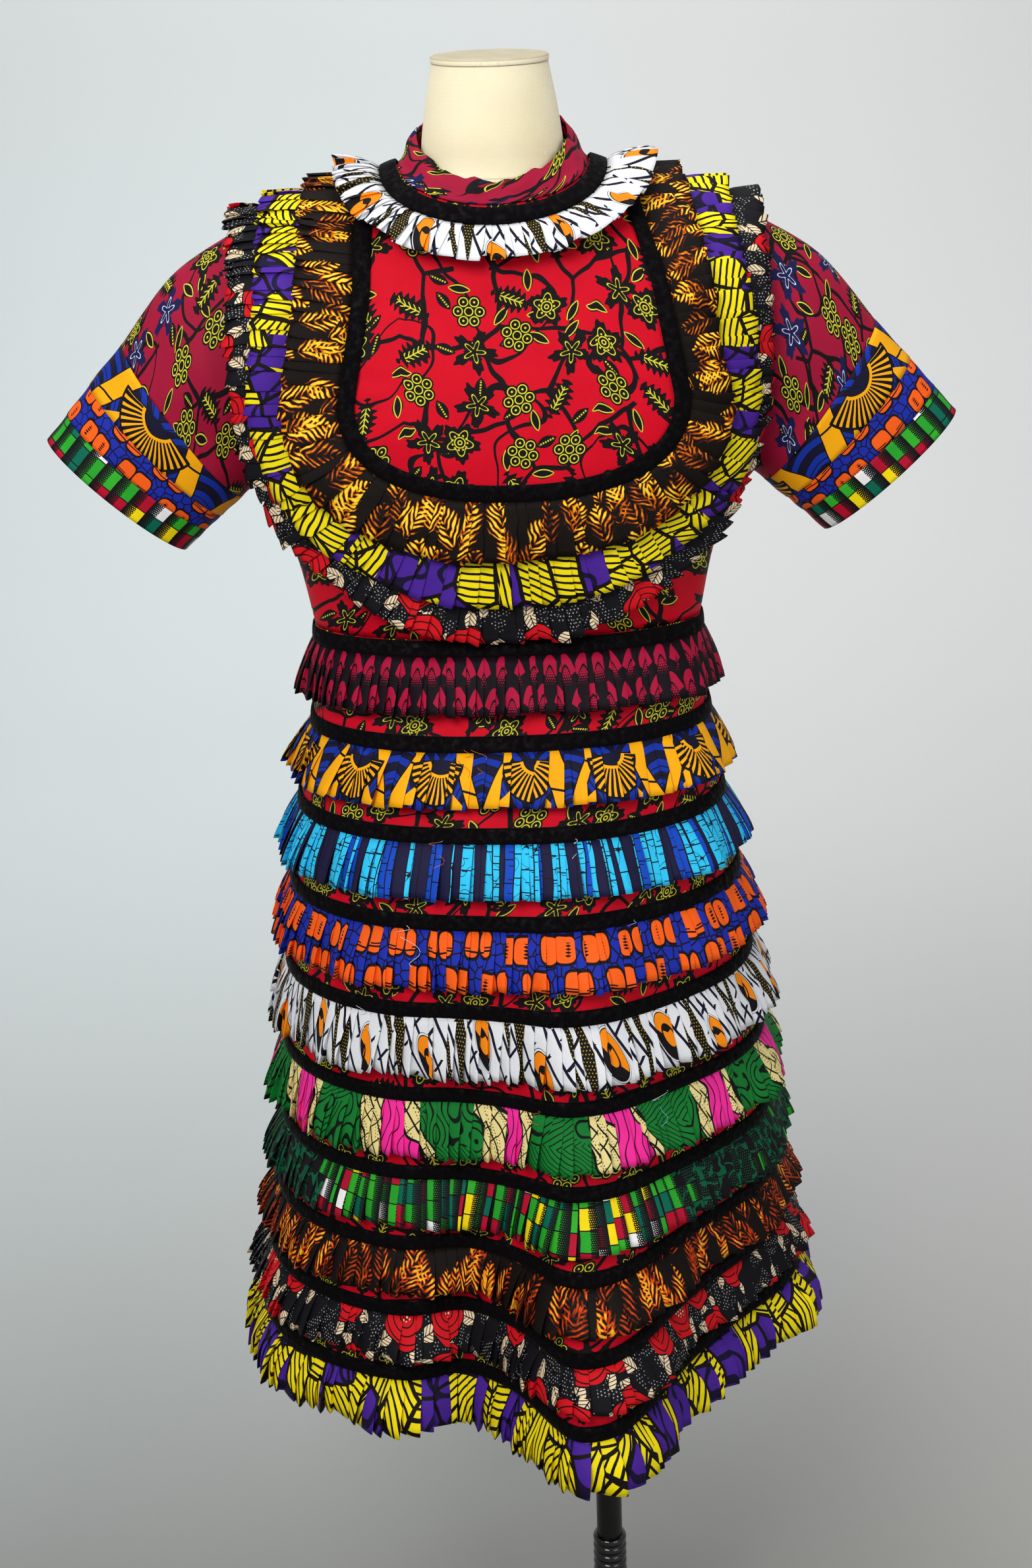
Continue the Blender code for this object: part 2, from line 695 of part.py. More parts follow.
def add_neck_band():
    """The stand collar, from the neckline up to an oval that leans in to the neck."""
    middle = (BAND_TOP_FRONT + BAND_TOP_BACK) / 2.0
    half_depth = (BAND_TOP_BACK - BAND_TOP_FRONT) / 2.0
    outer, inner = [[], []], [[], []]
    for point, normal in neck_ring(0.0, BAND_POINTS):
        angle = math.atan2(-point.x, point.y - middle)
        forward = (1.0 - math.cos(angle)) / 2.0
        height = BAND_BACK_HEIGHT + (BAND_FRONT_HEIGHT - BAND_BACK_HEIGHT) * forward ** BAND_DIP
        top = Vector((-BAND_TOP_HALF_WIDTH * math.sin(angle), 0.0, height))
        top.y = middle + half_depth * math.cos(angle)
        if abs(point.x) < 2.0 * GAP:
            top.x = point.x
        foot = point + Vector((0.0, 0.0, BAND_FOOT_LIFT))
        for row, place in enumerate((top, foot)):
            inward = Vector((-place.x, middle - place.y, 0.0))
            if abs(point.x) < 2.0 * GAP:
                inward.x = 0.0
            outer[row].append(place)
            inner[row].append(place + inward.normalized() * COTTON_WALL)
    add_wall("neck_band", outer, inner, "red_vine", closed=False)


def add_neck():
    add_neck_band()
    upper = neck_ring(RIBBON_START, BAND_POINTS)
    lower = neck_ring(RIBBON_START + RIBBON_WIDTH, BAND_POINTS)
    outer = [resting(upper, VELVET_WALL), resting(lower, VELVET_WALL)]
    inner = [resting(upper), resting(lower)]
    add_wall("neck_ribbon", outer, inner, "velvet", closed=False)

    head = neck_ring(RIBBON_START + RIBBON_WIDTH + 2.0 * GAP, NECK_POINTS)
    edge = neck_ring(NECK_RUFFLE_REACH, NECK_POINTS)
    outer_edge, inner_edge = [], []
    for i, (point, normal) in enumerate(edge):
        out = NECK_RUFFLE_STAND + NECK_RUFFLE_WAVE * wave_height(i, POINTS_A_WAVE, 0)
        outer_edge.append(point + normal * (out + RUFFLE_WALL))
        inner_edge.append(point + normal * out)
    outer = [resting(head, RUFFLE_WALL), outer_edge]
    inner = [resting(head), inner_edge]
    add_wall("neck_ruffle", outer, inner, "branches", closed=False)


# Sleeves

def armhole_ring(hand, inset):
    """The armhole's oval, just outside the bodice's edge, for the hand at -X or +X."""
    ring = []
    for step in range(SLEEVE_POINTS):
        angle = 2.0 * math.pi * step / SLEEVE_POINTS
        half_height = ARMHOLE_HALF_HEIGHT - inset
        height = ARMHOLE_MIDDLE + half_height * math.cos(angle)
        depth = (ARMHOLE_HALF_DEPTH - inset) * math.sin(angle)
        x = read(BODICE, height, "half_width") + GAP
        ring.append(Vector((hand * x, depth, height)))
    return ring


def sleeve_ring(hand, ring, inset, along=0.0):
    """An oval ring of the sleeve, moved a little along the arm to leave a seam's gap."""
    top = Vector((ring.top_x, 0.0, ring.top_height))
    low = Vector((ring.low_x, 0.0, ring.low_height))
    centre = (top + low) / 2.0
    reach = (top - low).length / 2.0 - inset
    upward = (top - low).normalized()
    outward = Vector((upward.z, 0.0, -upward.x))
    points = []
    for step in range(SLEEVE_POINTS):
        angle = 2.0 * math.pi * step / SLEEVE_POINTS
        across = (ring.half_depth - inset) * math.sin(angle)
        point = centre + upward * reach * math.cos(angle) + outward * along
        point.y = across
        point.x *= hand
        points.append(point)
    return points


def add_sleeve(hand, side_name):
    wall = COTTON_WALL
    outer = [armhole_ring(hand, 0.0), sleeve_ring(hand, SLEEVE_MIDDLE, 0.0),
             sleeve_ring(hand, BAND_START, 0.0)]
    inner = [armhole_ring(hand, wall), sleeve_ring(hand, SLEEVE_MIDDLE, wall),
             sleeve_ring(hand, BAND_START, wall)]
    add_wall(f"sleeve_{side_name}", outer, inner, "red_vine", closed=True)
    strips = [(f"sleeve_band_{side_name}", BAND_START, BAND_SEAM, "fans"),
              (f"sleeve_edge_band_{side_name}", BAND_SEAM, CUFF_START, "barrels"),
              (f"cuff_{side_name}", CUFF_START, CUFF_END, "blocks")]
    for name, start, end, surface in strips:
        outer = [sleeve_ring(hand, start, 0.0, GAP), sleeve_ring(hand, end, 0.0)]
        inner = [sleeve_ring(hand, start, wall, GAP), sleeve_ring(hand, end, wall)]
        add_wall(name, outer, inner, surface, closed=True)


# The dress form

def form_ring(height):
    """A level section of the form, worked out from the shoulders and the form's table."""
    line = NECK_HALF_WIDTH + (SHOULDER_HIGH - FORM_EASE - height) / SHOULDER_SLOPE
    reach = min(read(FORM, height, "half_width"), line)
    ring = []
    for step in range(FORM_POINTS):
        angle = 2.0 * math.pi * step / FORM_POINTS
        x = reach * math.cos(angle)
        side = BACK if math.sin(angle) > 0.0 else FRONT
        depth = chest_depth(FORM, x, height, side, 0.0, FORM_EASE)
        if step in (0, FORM_POINTS // 2):
            depth = 0.0
        ring.append(Vector((x, side * depth, height)))
    return ring


def add_form():
    rings = [form_ring(height) for height in FORM_LEVELS]
    slope = math.tan(CAP_TILT)
    for section in NECK:
        tilt = slope if section is NECK[-1] else 0.0
        centre = Vector((0.0, section.middle, section.height))
        rings.append(round_ring(centre, section.half_width, section.half_depth, FORM_POINTS, tilt))
    add_lofted("form_body", rings, "jersey")
    top = NECK[-1]
    rings = []
    for lift, inset in CAP:
        centre = Vector((0.0, top.middle, top.height + lift))
        width, depth = top.half_width - inset, top.half_depth - inset
        rings.append(round_ring(centre, width, depth, FORM_POINTS, slope))
    add_lofted("form_neck_cap", rings, "cap_cloth")


# The stand

def turned_rings(profile):
    return [round_ring(Vector((POLE_X, 0.0, height)), radius, radius, TURNED_POINTS)
            for radius, height in profile]


def add_stand():
    top = FORM_LEVELS[0] - GAP
    underside = top - FLANGE_HEIGHT
    pole = [Turned(POLE_RADIUS, POLE_FOOT), Turned(POLE_RADIUS, underside),
            Turned(FLANGE_RADIUS, underside + FLANGE_BEVEL), Turned(FLANGE_RADIUS, top)]
    add_lofted("stand_pole", turned_rings(pole), "satin_tube")

    foot = COLLAR_TOP - COLLAR_RINGS * COLLAR_PITCH
    collar = [Turned(COLLAR_RADIUS, POLE_FOOT), Turned(COLLAR_RADIUS, foot)]
    for number in range(COLLAR_RINGS):
        low, high = foot + number * COLLAR_PITCH, foot + (number + 1) * COLLAR_PITCH
        groove = low + COLLAR_ROUNDING / 2.0
        collar.append(Turned(COLLAR_GROOVE, groove))
        collar.append(Turned(COLLAR_RADIUS, groove + COLLAR_ROUNDING))
        collar.append(Turned(COLLAR_RADIUS, high - COLLAR_ROUNDING))
    collar.append(Turned(COLLAR_GROOVE, COLLAR_TOP))
    bore = POLE_RADIUS + GAP
    collar.extend([Turned(bore, COLLAR_TOP), Turned(bore, POLE_FOOT)])
    add_lofted("stand_sleeve", turned_rings(collar), "gloss_collar", hollow=True)
    add_lofted("stand_base", turned_rings(BASE), "satin_base")


# Putting the dress together

def half_columns(columns, hand):
    """The columns of one half of the back, up to the closing at the centre."""
    edge = GAP / BODICE[0].half_width
    if hand < 0:
        return [value for value in columns if value < -edge] + [-edge]
    return [edge] + [value for value in columns if value > edge]


def build():
    for old in list(bpy.data.objects):
        bpy.data.objects.remove(old, do_unlink=True)
    columns = bodice_columns()
    sew_panel("bodice_front", make_panel(FRONT, columns, bodice_rows(), bodice_point))
    for hand, side_name in ((-1, "left"), (1, "right")):
        half = make_panel(BACK, half_columns(columns, hand), bodice_rows(), bodice_point)
        sew_panel(f"bodice_back_{side_name}", half)
        add_sleeve(hand, side_name)
    skirt = {FRONT: make_panel(FRONT, FRONT_COLUMNS, skirt_heights(), skirt_point),
             BACK: make_panel(BACK, BACK_COLUMNS, skirt_heights(), skirt_point)}
    sew_panel("skirt_front", skirt[FRONT])
    sew_panel("skirt_back", skirt[BACK])
    for number in range(1, len(TIERS) + 1):
        add_tier(number, skirt)
    add_neck()
    add_yoke()
    add_form()
    add_stand()


build()
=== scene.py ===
import math
from collections import namedtuple

import bpy
import numpy as np
from mathutils import Matrix, Vector


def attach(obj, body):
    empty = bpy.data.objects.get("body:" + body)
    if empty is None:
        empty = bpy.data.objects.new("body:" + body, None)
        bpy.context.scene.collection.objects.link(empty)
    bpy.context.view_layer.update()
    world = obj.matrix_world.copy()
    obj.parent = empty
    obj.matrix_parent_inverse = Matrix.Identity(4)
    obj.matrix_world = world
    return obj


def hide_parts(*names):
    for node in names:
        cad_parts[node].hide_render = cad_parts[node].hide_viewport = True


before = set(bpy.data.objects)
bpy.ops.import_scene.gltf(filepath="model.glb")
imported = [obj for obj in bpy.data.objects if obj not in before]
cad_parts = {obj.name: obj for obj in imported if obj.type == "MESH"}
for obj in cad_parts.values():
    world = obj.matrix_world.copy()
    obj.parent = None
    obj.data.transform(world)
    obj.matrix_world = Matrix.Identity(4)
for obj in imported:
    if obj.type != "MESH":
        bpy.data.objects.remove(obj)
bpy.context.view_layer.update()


# Stand base and pole: a weighted steel disc on the floor and a 25 mm steel tube with a flange under
# the form, both sprayed satin black. A ribbed plastic collar clamps the tube at the height shown.
def maths(operation, turned=False):
    """A method that puts a socket and its other value through one Math node."""
    def mixed(self, *others):
        values = (*others, self) if turned else (self, *others)
        return Ink.node("Math", {"operation": operation}, dict(enumerate(values)))
    return mixed


def vectors(operation, socket=1, out=0):
    """The same with a Vector Math node, whose other value goes into this socket."""
    def mixed(self, *others):
        inputs = {0: self, **{socket: other for other in others}}
        return Ink.node("VectorMath", {"operation": operation}, inputs, out)
    return mixed


class Ink:
    """A socket of the material being mixed, so that a pattern reads as plain sums."""
    tree = None

    def __init__(self, socket):
        self.socket = socket

    @classmethod
    def node(cls, kind, settings, inputs, out=0):
        made = cls.tree.nodes.new("ShaderNode" + kind)
        for key, value in settings.items():
            if key == "stops":
                ramp = made.color_ramp
                for place, colour in value[1:-1]:
                    ramp.elements.new(place)
                ramp.elements[-1].position = value[-1][0]
                for element, (place, colour) in zip(ramp.elements, value):
                    element.color = (*colour, 1.0)
            elif key == "between_stops":
                made.color_ramp.interpolation = value
            else:
                setattr(made, key, value)
        for key, value in inputs.items():
            if isinstance(value, Ink):
                cls.tree.links.new(value.socket, made.inputs[key])
            elif hasattr(value, "__len__") and len(made.inputs[key].default_value) == 4:
                made.inputs[key].default_value = (*value, 1.0)
            else:
                made.inputs[key].default_value = value
        return cls(made.outputs[out])

    __add__ = __radd__ = maths("ADD")
    __sub__, __rsub__ = maths("SUBTRACT"), maths("SUBTRACT", turned=True)
    __mul__ = __rmul__ = maths("MULTIPLY")
    __truediv__, __rtruediv__ = maths("DIVIDE"), maths("DIVIDE", turned=True)
    __pow__, __abs__ = maths("POWER"), maths("ABSOLUTE")
    __gt__, __lt__ = maths("GREATER_THAN"), maths("LESS_THAN")
    top, low = maths("MAXIMUM"), maths("MINIMUM")
    part, whole = maths("FRACT"), maths("FLOOR")
    wave, cosine, bearing = maths("SINE"), maths("COSINE"), maths("ARCTAN2")
    shift, minus = vectors("ADD"), vectors("SUBTRACT")
    times, length = vectors("SCALE", socket=3), vectors("LENGTH", out=1)

    def clamp(self):
        return Ink.node("Clamp", {}, {0: self})

    def sibling(self, name):
        return Ink(self.socket.node.outputs[name])

    def split(self):
        parts = Ink.node("SeparateXYZ", {}, {0: self})
        return parts, parts.sibling("Y"), parts.sibling("Z")


def dye(red, green, blue):
    """A colour as a screen shows it, 0 to 255, made linear."""
    return tuple((c / 255 / 12.92) if c <= 10 else ((c / 255 + 0.055) / 1.055) ** 2.4
                 for c in (red, green, blue))


def lay(under, over, mask):
    """One colour printed over another where the mask is 1."""
    return Ink.node("Mix", {"data_type": "RGBA"}, {0: mask, 6: under, 7: over}, out=2)


def grain(place, size, detail=2.0, rough=0.5):
    """Soft noise about 0.5, with blotches of this size in the place's unit."""
    return Ink.node("TexNoise", {"noise_dimensions": "3D"},
                    {"Vector": place, "Scale": 1.0 / size, "Detail": detail, "Roughness": rough})


def start_material(name, roughness, **constants):
    """A new material whose shader's sockets that don't vary are set; returns it and its shader."""
    material = bpy.data.materials.new(name)
    material.use_nodes = True
    Ink.tree = material.node_tree
    shader = material.node_tree.nodes["Principled BSDF"]
    shader.inputs["Roughness"].default_value = roughness
    for key, value in constants.items():
        shader.inputs[key.replace("_", " ")].default_value = value
    return material, shader


def feed(shader, socket, value):
    Ink.tree.links.new(value.socket, shader.inputs[socket])


def body_place():
    """Where a point of the object is, in millimetres."""
    place = Ink.node("TexCoord", {}, {}).sibling("Object")
    return place.times(1000.0)


def raise_bumps(shader, height, depth_mm):
    """Relief under the finish, from a height of 0 to 1 and its depth in millimetres."""
    bump = Ink.node("Bump", {}, {"Height": height, "Distance": depth_mm / 1000.0, "Strength": 1.0})
    feed(shader, "Normal", bump)


def black_finish(name, roughness, metallic, speck, coat=0.0):
    material, shader = start_material(name, roughness, Metallic=metallic, Coat_Weight=coat)
    place = body_place()
    dust = grain(place, 14.0, 4.0, 0.7)
    feed(shader, "Base Color", lay(dye(14, 14, 15), dye(34, 34, 35), (dust - 0.45).clamp() * 1.4))
    feed(shader, "Roughness", roughness + (dust - 0.5) * 0.16)
    raise_bumps(shader, grain(place, speck, 2.0), 0.05)
    return material


def stands_for(piece, node):
    """A piece in the place of a solid of the frame, whose solid is hidden."""
    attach(piece, "root")
    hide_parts(node)
    return piece


def ring_faces(rings, around, first=0):
    """The faces between closed rings of points that follow one another from the first point."""
    return [(first + r * around + c, first + r * around + (c + 1) % around,
             first + (r + 1) * around + (c + 1) % around, first + (r + 1) * around + c)
            for r in range(rings - 1) for c in range(around)]


def make_piece(name, points, faces, material, sharp=None):
    """A smooth object of one mesh, with edges where its faces meet at more degrees than this."""
    mesh = bpy.data.meshes.new(name)
    mesh.from_pydata(points, [], faces)
    mesh.materials.append(material)
    mesh.shade_smooth()
    if sharp:
        mesh.set_sharp_from_angle(angle=math.radians(sharp))
    piece = bpy.data.objects.new(name, mesh)
    bpy.context.scene.collection.objects.link(piece)
    return piece


POLE_X = 0.071


def lathe(name, profile, around, material):
    """A piece turned about the pole's middle line, from radius and height pairs."""
    turn = np.linspace(0.0, 2.0 * np.pi, around, endpoint=False)
    points = [(POLE_X + radius * math.cos(a), radius * math.sin(a), height)
              for radius, height in profile for a in turn]
    return make_piece(name, points, ring_faces(len(profile), around), material, 38)


tube_black = black_finish("satin_black_tube", 0.34, 0.3, 0.9)
base_black = black_finish("satin_black_base", 0.42, 0.3, 1.4)
collar_black = black_finish("gloss_black_collar", 0.13, 0.0, 3.0, coat=0.4)
base = lathe("weighted_base", [
    (0.0001, 0.0), (0.1485, 0.0), (0.1498, 0.0006), (0.150, 0.0018), (0.150, 0.0068), (0.1494, 0.0082),
    (0.1478, 0.0094), (0.140, 0.0112), (0.120, 0.0142), (0.093, 0.0170), (0.060, 0.0200),
    (0.036, 0.0216), (0.030, 0.0224), (0.0282, 0.0236), (0.027, 0.0257), (0.0001, 0.0257),
], 96, base_black)
stands_for(base, "stand_base")
pole = lathe("stand_tube", [
    (0.0001, 0.0262), (0.0125, 0.0262), (0.0125, 0.7905), (0.0127, 0.7925), (0.016, 0.7935),
    (0.044, 0.7938), (0.045, 0.7946), (0.045, 0.7990), (0.0445, 0.7995), (0.0001, 0.7995),
], 64, tube_black)
stands_for(pole, "stand_pole")
COLLAR_FOOT, COLLAR_TOP = 0.0262, 0.186
RIBS, RIB_STEP = 5, 0.0093
RIB = ((0.06, 0.0149), (0.16, 0.0149), (0.26, 0.0158), (0.38, 0.0164),
       (0.56, 0.0166), (0.74, 0.0164), (0.88, 0.0158), (0.96, 0.0150))
rib_foot = COLLAR_TOP - RIBS * RIB_STEP
collar = lathe("ribbed_collar", [
    (0.0128, COLLAR_FOOT), (0.0162, COLLAR_FOOT), (0.0165, COLLAR_FOOT + 0.0006), (0.0165, rib_foot),
    *[(radius, rib_foot + (rib + share) * RIB_STEP) for rib in range(RIBS) for share, radius in RIB],
    (0.0148, COLLAR_TOP - 0.0004), (0.0142, COLLAR_TOP), (0.0128, COLLAR_TOP), (0.0128, COLLAR_FOOT),
], 64, collar_black)
stands_for(collar, "stand_sleeve")


# Dress form: a moulded limbless body with a neck, under a skin of cream jersey pulled tight. It fills
# the shoulders and the waist of the dress and ends under the skirt, on the pole's flange.
Section = namedtuple("Section", "height half_width front back")
FORM = [
    Section(1.530, 0.185, 0.066, 0.072), Section(1.460, 0.185, 0.078, 0.080),
    Section(1.400, 0.178, 0.095, 0.084), Section(1.330, 0.168, 0.108, 0.086),
    Section(1.257, 0.158, 0.108, 0.083), Section(1.200, 0.146, 0.097, 0.079),
    Section(1.134, 0.136, 0.080, 0.074), Section(1.080, 0.133, 0.080, 0.076),
    Section(1.000, 0.150, 0.088, 0.096), Section(0.930, 0.168, 0.094, 0.110),
    Section(0.860, 0.175, 0.096, 0.112), Section(0.800, 0.170, 0.090, 0.104),
]
NeckSection = namedtuple("NeckSection", "height half_width half_depth middle")
NECK = [
    NeckSection(1.5090, 0.0605, 0.0550, -0.0050), NeckSection(1.5180, 0.0585, 0.0535, -0.0055),
    NeckSection(1.5340, 0.0580, 0.0535, -0.0065), NeckSection(1.5650, 0.0535, 0.0500, -0.0085),
    NeckSection(1.5960, 0.0475, 0.0460, -0.0105),
]
SHOULDER_HIGH, SHOULDER_SLOPE, SHOULDER_ROUND = 1.518, 0.36, 0.080
NECK_HALF_WIDTH = 0.076
ROUNDNESS = 2.3
FORM_EASE = 0.0030
FRONT, BACK = -1, 1


def read(table, height, column):
    """A column of a table of sections at any heights, on a smooth curve."""
    rows = sorted(table, key=lambda row: row.height)
    z = np.array([row.height for row in rows])
    f = np.array([getattr(row, column) for row in rows])
    low = np.maximum(np.arange(len(z)) - 1, 0)
    high = np.minimum(np.arange(len(z)) + 1, len(z) - 1)
    slope = (f[high] - f[low]) / (z[high] - z[low])
    h = np.clip(height, z[0], z[-1])
    k = np.clip(np.searchsorted(z, h, side="right") - 1, 0, len(z) - 2)
    span = z[k + 1] - z[k]
    t = (h - z[k]) / span
    return (f[k] * (2 * t ** 3 - 3 * t ** 2 + 1) + slope[k] * span * (t ** 3 - 2 * t ** 2 + t)
            + f[k + 1] * (3 * t ** 2 - 2 * t ** 3) + slope[k + 1] * span * (t ** 3 - t ** 2))


def oval(share):
    return (1.0 - np.minimum(1.0, np.abs(share)) ** ROUNDNESS) ** (1.0 / ROUNDNESS)


def shoulder_height(x):
    return SHOULDER_HIGH - SHOULDER_SLOPE * (np.abs(x) - NECK_HALF_WIDTH)


def chest_depth(table, x, height, side, edge, ease=0.0):
    """How far the body reaches forward or back at these places, rounded off at the shoulders."""
    full = read(table, height, "front" if side == FRONT else "back")
    rise = np.clip((shoulder_height(x) - ease - height) / SHOULDER_ROUND, 0.0, 1.0)
    rounding = np.sqrt(1.0 - (1.0 - rise) ** 2)
    return rounding * (edge + (full - edge) * oval(x / read(table, height, "half_width")))


def skin(name, rings, material):
    """A smooth closed skin over rings of points that have equal counts."""
    count = len(rings[0])
    points = np.concatenate(rings)
    faces = ring_faces(len(rings), count)
    faces.append(tuple(range(count))[::-1])
    faces.append(tuple(range(len(points) - count, len(points))))
    return make_piece(name, points.tolist(), faces, material, 55)


jersey, shader = start_material("cream_jersey", 0.85, Sheen_Weight=0.25, Sheen_Roughness=0.5)
place = body_place()
x, y, z = place.split()
blotch = grain(place, 60.0, 3.0)
cream = lay(dye(242, 232, 198), dye(228, 214, 172), (blotch - 0.38).clamp() * 1.6)
low_seam = abs(z - y * 0.1 - 1512.5)
cream = lay(cream, dye(196, 180, 138), (low_seam < 0.7) * (y < 0.0) * 0.55)
feed(shader, "Base Color", cream)
knit = (x * 3.3).wave() * 0.5 + (z * 4.2).wave() * 0.5
raise_bumps(shader, knit * 0.4 + grain(place, 2.2, 2.0), 0.12)
turn = np.linspace(0.0, 2.0 * np.pi, 72, endpoint=False)
FORM_FOOT = [(0.8, 0.006), (0.8025, 0.002), (0.808, 0.0)]
body_heights = [(height, 0.0) for height in (*np.linspace(0.82, 1.46, 33), *np.linspace(1.468, 1.4975, 7))]
form_rings = []
for height, inset in FORM_FOOT + body_heights:
    shoulder_x = NECK_HALF_WIDTH + (SHOULDER_HIGH - FORM_EASE - height) / SHOULDER_SLOPE
    reach = min(read(FORM, height, "half_width"), shoulder_x)
    x = (reach - inset) * np.cos(turn)
    depth = [chest_depth(FORM, at, height, BACK if math.sin(a) > 0 else FRONT, 0.0, FORM_EASE)
             for at, a in zip(x, turn)]
    side = np.where(np.sin(turn) > 1e-9, 1.0, np.where(np.sin(turn) < -1e-9, -1.0, 0.0))
    y = side * np.array(depth) * (1.0 - inset * 8.0)
    form_rings.append(np.stack([x, y, np.full_like(x, height)], 1))
CAP_SLOPE = math.tan(math.radians(4.5))
NECK_TOP = NECK[-1].height
for height in [1.509, 1.513, *np.linspace(SHOULDER_HIGH, NECK_TOP, 14)]:
    slope = CAP_SLOPE * np.clip((height - NECK_TOP + 0.016) / 0.016, 0.0, 1.0)
    middle = read(NECK, height, "middle")
    across = read(NECK, height, "half_depth") * np.sin(turn)
    form_rings.append(np.stack([read(NECK, height, "half_width") * np.cos(turn),
                                middle + across, height + slope * across], 1))
form = skin("jersey_form", form_rings, jersey)
stands_for(form, "form_body")


# Neck cap: a flat disc of grey-cream cloth over board that closes the neck of the form. Its edge is
# turned under and stands a little proud of the jersey.
cap_cloth, shader = start_material("neck_cap_cloth", 0.8)
place = body_place()
x, y, z = place.split()
weave = abs((x * 4.4).wave() * (y * 4.4).wave())
upper = z - y * CAP_SLOPE > 1601.0
board = lay(dye(206, 196, 168), dye(180, 169, 142), grain(place, 20.0, 3.0))
feed(shader, "Base Color", lay(dye(240, 231, 200), board, upper))
raise_bumps(shader, weave + grain(place, 1.2), 0.15)
CAP_EDGE = ((0.0004, 0.030), (0.0004, 0.0), (0.0008, -0.0006), (0.0016, -0.0008), (0.0042, -0.0008),
            (0.0053, -0.0002), (0.0060, 0.0012), (0.0061, 0.006), (0.0061, 0.030))
cap_rings = []
for lift, inset in CAP_EDGE:
    across = (NECK[-1].half_depth - inset) * np.sin(turn)
    cap_rings.append(np.stack([(NECK[-1].half_width - inset) * np.cos(turn), NECK[-1].middle + across,
                               NECK_TOP + lift + CAP_SLOPE * across], 1))
cap = skin("neck_cap", cap_rings, cap_cloth)
stands_for(cap, "form_neck_cap")


# Bodice: one front panel and two back panels of wax print cotton, joined at the shoulders and the sides.
# The back closes in the middle with a short slit and a hook and eye. The front is the red bib that
# shows inside the yoke ribbon, and it is pulled a little where the ribbon is stitched down.
GAP = 0.0003
WAIST = 1.134
NECK_DROP = {FRONT: 0.031, BACK: 0.012}
ARMHOLE_MIDDLE, ARMHOLE_HALF_HEIGHT, ARMHOLE_HALF_DEPTH = 1.3625, 0.1055, 0.055
BODICE = [
    Section(1.530, 0.215, 0.074, 0.080), Section(1.470, 0.215, 0.084, 0.086),
    Section(1.400, 0.214, 0.104, 0.092), Section(1.330, 0.212, 0.118, 0.094),
    Section(1.257, 0.206, 0.120, 0.091), Section(1.200, 0.182, 0.109, 0.088),
    Section(1.134, 0.168, 0.091, 0.085),
]
TOP_HALF_WIDTH = BODICE[0].half_width


def top_edge(x, side):
    share = np.minimum(1.0, np.abs(x) / NECK_HALF_WIDTH)
    neckline = SHOULDER_HIGH - NECK_DROP[side] * np.sqrt(1.0 - share ** 2)
    return np.where(np.abs(x) < NECK_HALF_WIDTH, neckline, shoulder_height(x))


def bodice_point(side, column, row):
    """A point of the bodice, from its share of the half width and of the way down to the waist."""
    top = top_edge(column * TOP_HALF_WIDTH, side)
    height = top + (WAIST + GAP - top) * row
    x = column * read(BODICE, height, "half_width")
    share = (height - ARMHOLE_MIDDLE) / ARMHOLE_HALF_HEIGHT
    edge = ARMHOLE_HALF_DEPTH * np.sqrt(np.maximum(0.0, 1.0 - share ** 2))
    depth = chest_depth(BODICE, x, height, side, edge)
    return np.stack([x, side * np.maximum(GAP / 2.0, depth), height], -1)


def unit(vectors):
    return vectors / np.maximum(1e-12, np.linalg.norm(vectors, axis=-1, keepdims=True))


def on_bodice(side, x, height):
    """Points and outward directions where the bodice has these x and these heights."""
    step = 0.002
    column = np.clip(x / read(BODICE, height, "half_width"), step - 1.0, 1.0 - step)
    top = top_edge(column * TOP_HALF_WIDTH, side)
    row = np.maximum(0.0, (top - height) / (top - WAIST - GAP))
    across = bodice_point(side, column + step, row) - bodice_point(side, column - step, row)
    down = bodice_point(side, column, row + step) - bodice_point(side, column, np.maximum(0.0, row - step))
    return bodice_point(side, column, row), unit(np.cross(across, down) * side)


def facing(points):
    """The outward direction at each point of a grid that wraps some way round the body."""
    normal = unit(np.cross(np.gradient(points, axis=1), np.gradient(points, axis=0)))
    middle = points.reshape(-1, 3).mean(0)
    away = (points - middle) * (1.0, 1.0, 0.0)
    return normal if (normal * away).sum() > 0.0 else -normal


def lengths(points, axis):
    """How far along its cloth each point lies, in metres from the first."""
    steps = np.linalg.norm(np.diff(points, axis=axis), axis=-1)
    pad = [(0, 0), (0, 0)]
    pad[axis] = (1, 0)
    return np.cumsum(np.pad(steps, pad), axis=axis)


Crease = namedtuple("Crease", "x1 z1 x2 z2 width depth")


def pressed(points, creases):
    """The cloth with soft troughs, or ridges, along lines drawn on it as seen from the front."""
    normal = facing(points)
    moved = np.zeros(points.shape[:2])
    for crease in creases:
        start = np.array([crease.x1, crease.z1])
        line = np.array([crease.x2, crease.z2]) - start
        from_start = points[..., [0, 2]] - start
        share = np.clip((from_start @ line) / (line @ line), 0.0, 1.0)
        away = np.linalg.norm(from_start - share[..., None] * line, axis=-1)
        taper = np.sin(np.pi * (0.12 + 0.76 * share))
        moved += crease.depth * taper * np.exp(-(away / crease.width) ** 2)
    return points + normal * moved[..., None]


